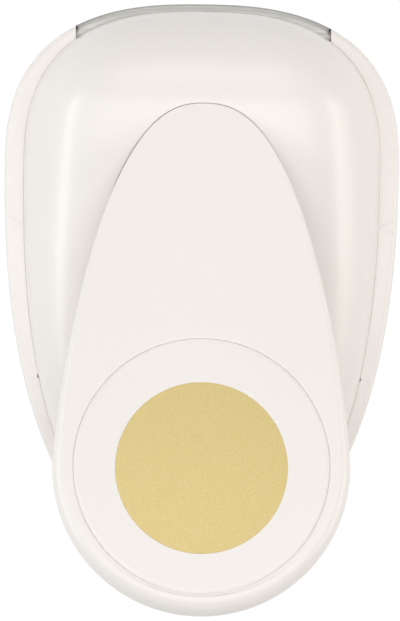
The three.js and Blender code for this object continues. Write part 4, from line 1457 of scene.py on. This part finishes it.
@dataclass
class Fasteners(Builder):
    """Every screw, turned and with a crossed recess, and the hinge pin.

    The pin's half is a profile of radius and distance from its middle.
    """

    threaded: float = 0.55
    groove: float = 0.16
    fillet: float = 0.1
    crown: float = 0.62
    recess_reach: float = 0.31
    recess_half: float = 0.4
    recess_depth: float = 1.0
    pin_half: tuple = (
        (2, 0), (2, 12.15), (1.5, 12.15), (1.5, 13.25), (2, 13.25), (2, 13.9), (1.6, 14.3), (0, 14.3))

    def profile(self, size: Screw) -> list:
        """Side view of a screw: tip, thread grooves, shank, fillet and rounded head.

        Args:
            size: The kind of screw.

        Returns:
            Pairs of radius and height over the face that the head sits on.
        """
        radius, tip, pitch = size.shank / 2, size.shank / 4, size.shank / 6
        points = [(0, -size.length), (radius - tip, -size.length), (radius, tip - size.length)]
        for turn in range(int(size.length * self.threaded / pitch)):
            start = tip - size.length + pitch + turn * pitch
            points += [(radius - self.groove, start - pitch / 2), (radius, start)]
        points += [(radius, -self.fillet), (radius + self.fillet, 0), (size.head / 2, 0)]
        crown = size.height * self.crown
        edge, shoulder = size.head / 2 - crown, size.height - crown
        points += [
            (edge + crown * math.cos(turn), shoulder + crown * math.sin(turn))
            for turn in quarter(7)[:-1]]
        return points + [(edge, size.height), (0, size.height)]

    def screw(self, name: str, size: Screw, place: tuple, up: int) -> None:
        """One screw with a crossed recess in its head.

        Args:
            name: Node that it stands for.
            size: The kind of screw.
            place: X, Y and Z of the middle of the face that its head sits on.
            up: 1 with its head on top, -1 with its head below.
        """
        x, y, z = place
        profile = [(radius, up * height) for radius, height in self.profile(size)]
        made = self.shaper.turned(f"{name}_turned", profile, place, 48)
        reach, half = size.head * self.recess_reach, self.recess_half
        levels = sorted((z + up * (size.height - self.recess_depth), z + up * (size.height + 1)))
        cutters = [
            self.shaper.prism("recess", rectangle(x, y, across, along), *levels)
            for across, along in ((reach, half), (half, reach))]
        self.shaper.combine(made, cutters, Cut.TAKE)
        self.settle(made, BRIGHT, "screw_zinc", Body.CASE, name)

    def build(self) -> None:
        """Makes the screws and the pin."""
        for kind, size, places, z, up in (
            ("case", CASE_SCREW, LAYOUT.case_screws, HEIGHTS.counterbore, -1),
            ("plate", PLATE_SCREW, LAYOUT.plate_screws, HEIGHTS.guide_top, 1),
            ("bracket", BRACKET_SCREW, LAYOUT.bracket_screws, HEIGHTS.bracket_top, 1),
        ):
            for number, (x, y) in enumerate(places, 1):
                self.screw(f"{kind}_screw_{number}", size, (x, y, z), up)
        profile = [(radius, -at) for radius, at in self.pin_half[:0:-1]] + list(self.pin_half)
        pin = self.shaper.turned("pivot_pin_turned", profile, (0, *LAYOUT.pivot), 48, axis="X")
        self.settle(pin, BRIGHT, "bright_steel", Body.CASE, "pivot_pin")


@dataclass
class Hardware:
    """CAD nodes that keep their own mesh and get a finer finish."""

    finishes: dict = field(default_factory=lambda: {
        "guide_plate": CROSS_GROUND,
        "slot_spacer": BRIGHT,
        "pivot_bracket": PLATE,
        "retaining_ring_left": BRIGHT,
        "retaining_ring_right": BRIGHT,
        "thrust_plate": CROSS_GROUND,
    })

    def build(self, nodes: dict) -> None:
        """Dresses each kept node.

        Args:
            nodes: The frame's nodes by name.
        """
        for name, finish in self.finishes.items():
            node = nodes[name]
            material = finish.material()
            for slot in node.material_slots:
                slot.material = material
            LOG.info("%s: kept node, finish %s", name, finish.label)


class Tone(Enum):
    """Colours of the lamps' light."""

    PLAIN = (1.0, 1.0, 1.0)
    COOL = (0.97, 1.0, 0.98)
    WARM = (1.0, 0.955, 0.88)


@dataclass(frozen=True)
class Lamp:
    """A soft lamp aimed at the object: place and size in metres, power in watts."""

    name: str
    place: tuple
    size: tuple
    power: float
    tone: Tone = Tone.PLAIN

    def build(self) -> None:
        """Hangs the lamp."""
        data = bpy.data.lights.new(self.name, "AREA")
        data.shape = "RECTANGLE"
        data.size, data.size_y = self.size
        data.energy, data.color = self.power, self.tone.value
        made = linked(self.name, data)
        made.location = self.place
        made.rotation_euler = Vector(self.place).to_track_quat("Z", "Y").to_euler()


LAMPS = (
    Lamp("top_soft", (0.0, 0.05, 1.5), (1.6, 0.9), 8.3),
    Lamp("low_left", (1.4, 0.0, 0.45), (1.2, 0.5), 1.0, Tone.COOL),
    Lamp("low_right", (-1.4, 0.0, 0.45), (1.2, 0.5), 2.9, Tone.WARM),
    Lamp("wide_left", (1.25, 0.0, 0.8), (1.2, 0.35), 6.0, Tone.COOL),
    Lamp("wide_right", (-1.25, 0.0, 0.8), (1.2, 0.35), 4.7, Tone.WARM),
    Lamp("high_left", (0.87, 0.0, 1.04), (1.0, 0.5), 1.4, Tone.COOL),
    Lamp("front_soft", (0.0, -1.04, 0.87), (0.7, 0.7), 1.9),
)


@dataclass
class Studio:
    """Floor, background, lamps and the camera at the photograph's angle."""

    width_px: int = 400
    height_px: int = 621
    focal_px: float = 5279.0
    axis_px: tuple = (201.36, 301.7)
    distance: float = 1188.5
    target: tuple = (0.0, 66.75, 29.71)
    elevation: float = math.radians(86.5)
    side: float = math.radians(1.13)
    roll: float = math.radians(0.73)
    floor_half: float = 3.0
    floor_z: float = -0.0002
    floor_grey: tuple = (0.86, 0.86, 0.86, 1)
    floor_glow: float = 1.03
    floor_white: float = 0.95
    fill: float = 0.27

    def camera(self, datum: Datum) -> None:
        """Places the camera from the fitted view: distance, elevation, side step and roll.

        Args:
            datum: Places the point that the camera looks at.
        """
        sine, cosine = math.sin(self.elevation), math.cos(self.elevation)
        back = Vector((math.sin(self.side), -cosine, sine)).normalized()
        right = (-back).cross(Vector((0, -1, 0))).normalized()
        up = right.cross(-back)
        cosine, sine = math.cos(self.roll), math.sin(self.roll)
        turned_right, turned_up = right * cosine + up * sine, up * cosine - right * sine
        data = bpy.data.cameras.new("camera")
        long_side = max(self.width_px, self.height_px)
        data.sensor_width = 36
        data.lens = self.focal_px / long_side * data.sensor_width
        data.shift_x = -(self.axis_px[0] - self.width_px / 2) / long_side
        data.shift_y = (self.axis_px[1] - self.height_px / 2) / long_side
        data.clip_start, data.clip_end = 0.05, 20
        made = linked("camera", data)
        place = Vector(datum.place(np.array(self.target)).tolist()) + back * self.distance * MM
        turn = Matrix((turned_right, turned_up, back)).transposed().to_4x4()
        made.matrix_world = Matrix.Translation(place) @ turn
        bpy.context.scene.camera = made

    @staticmethod
    def show_white(
        tree: bpy.types.NodeTree, plain: bpy.types.Node, white: bpy.types.Node, share: float, out: str,
    ) -> None:
        """Shows a white to camera, glossy and transmission rays, and the plain shader to the rest.

        Args:
            tree: Nodes of the floor's material or of the world.
            plain: Shader that lights the object.
            white: Shader that is seen.
            share: How much of the white those rays see.
            out: Name of the output node.
        """
        rays = shader_node(tree, "ShaderNodeLightPath").outputs
        seen = rays["Is Camera Ray"]
        for label in ("Is Glossy Ray", "Is Transmission Ray"):
            links = {0: seen, 1: rays[label]}
            seen = shader_node(tree, "ShaderNodeMath", links=links, operation="MAXIMUM").outputs[0]
        part = shader_node(tree, "ShaderNodeMath", {1: share}, {0: seen}, operation="MULTIPLY")
        links = {"Fac": part.outputs[0], 1: plain.outputs[0], 2: white.outputs[0]}
        mixed = shader_node(tree, "ShaderNodeMixShader", links=links)
        tree.links.new(mixed.outputs[0], tree.nodes[out].inputs["Surface"])

    def floor(self) -> None:
        """A wide pale floor that the camera sees white, with the object's shadow kept faintly."""
        corners = lifted(rectangle(0, 0, self.floor_half, self.floor_half), self.floor_z)
        mesh = bpy.data.meshes.new("floor")
        mesh.from_pydata(corners.tolist(), [], [(0, 1, 2, 3)])
        made = linked("floor", mesh)
        material = bpy.data.materials.new("floor_white")
        material.use_nodes = True
        tree = material.node_tree
        plain = tree.nodes["Principled BSDF"]
        plain.inputs["Base Color"].default_value = self.floor_grey
        plain.inputs["Roughness"].default_value = 0.9
        glow = shader_node(tree, "ShaderNodeEmission", {"Strength": self.floor_glow})
        self.show_white(tree, plain, glow, self.floor_white, "Material Output")
        mesh.materials.append(material)

    def world(self) -> None:
        """A plain pale world that the camera and reflections see white."""
        world = bpy.data.worlds.new("studio")
        bpy.context.scene.world = world
        world.use_nodes = True
        tree = world.node_tree
        fill = tree.nodes["Background"]
        fill.inputs["Color"].default_value = (1, 1, 1, 1)
        fill.inputs["Strength"].default_value = self.fill
        white = shader_node(tree, "ShaderNodeBackground", {"Strength": 1.0})
        self.show_white(tree, fill, white, 1.0, "World Output")

    def build(self, datum: Datum) -> None:
        """Builds camera, floor, world and lamps.

        Args:
            datum: Places the camera's target.
        """
        self.camera(datum)
        self.floor()
        self.world()
        for lamp in LAMPS:
            lamp.build()
        bpy.context.scene.view_settings.view_transform = "Standard"


def main() -> None:
    """Sets up the studio, builds the dressed punch piece by piece and logs where its front edge lies.
    """
    logging.basicConfig(level=logging.INFO, format="%(name)s %(message)s")
    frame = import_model()
    datum = Datum(front_y=float(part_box("die_plate")[0][1]))
    LOG.info("front edge at %.5f m", datum.front_y)
    shaper = Shaper(datum)
    Studio().build(datum)
    lever = Lever(shaper)
    LowerCase(shaper).build()
    Cover(shaper).build(lever)
    lever.build()
    TailDisc(shaper).build()
    DiePlate(shaper).build()
    PunchBlock(shaper).build()
    Guides(shaper).build()
    Fasteners(shaper).build()
    Hardware().build(frame["nodes"])


if __name__ == "__main__":
    main()
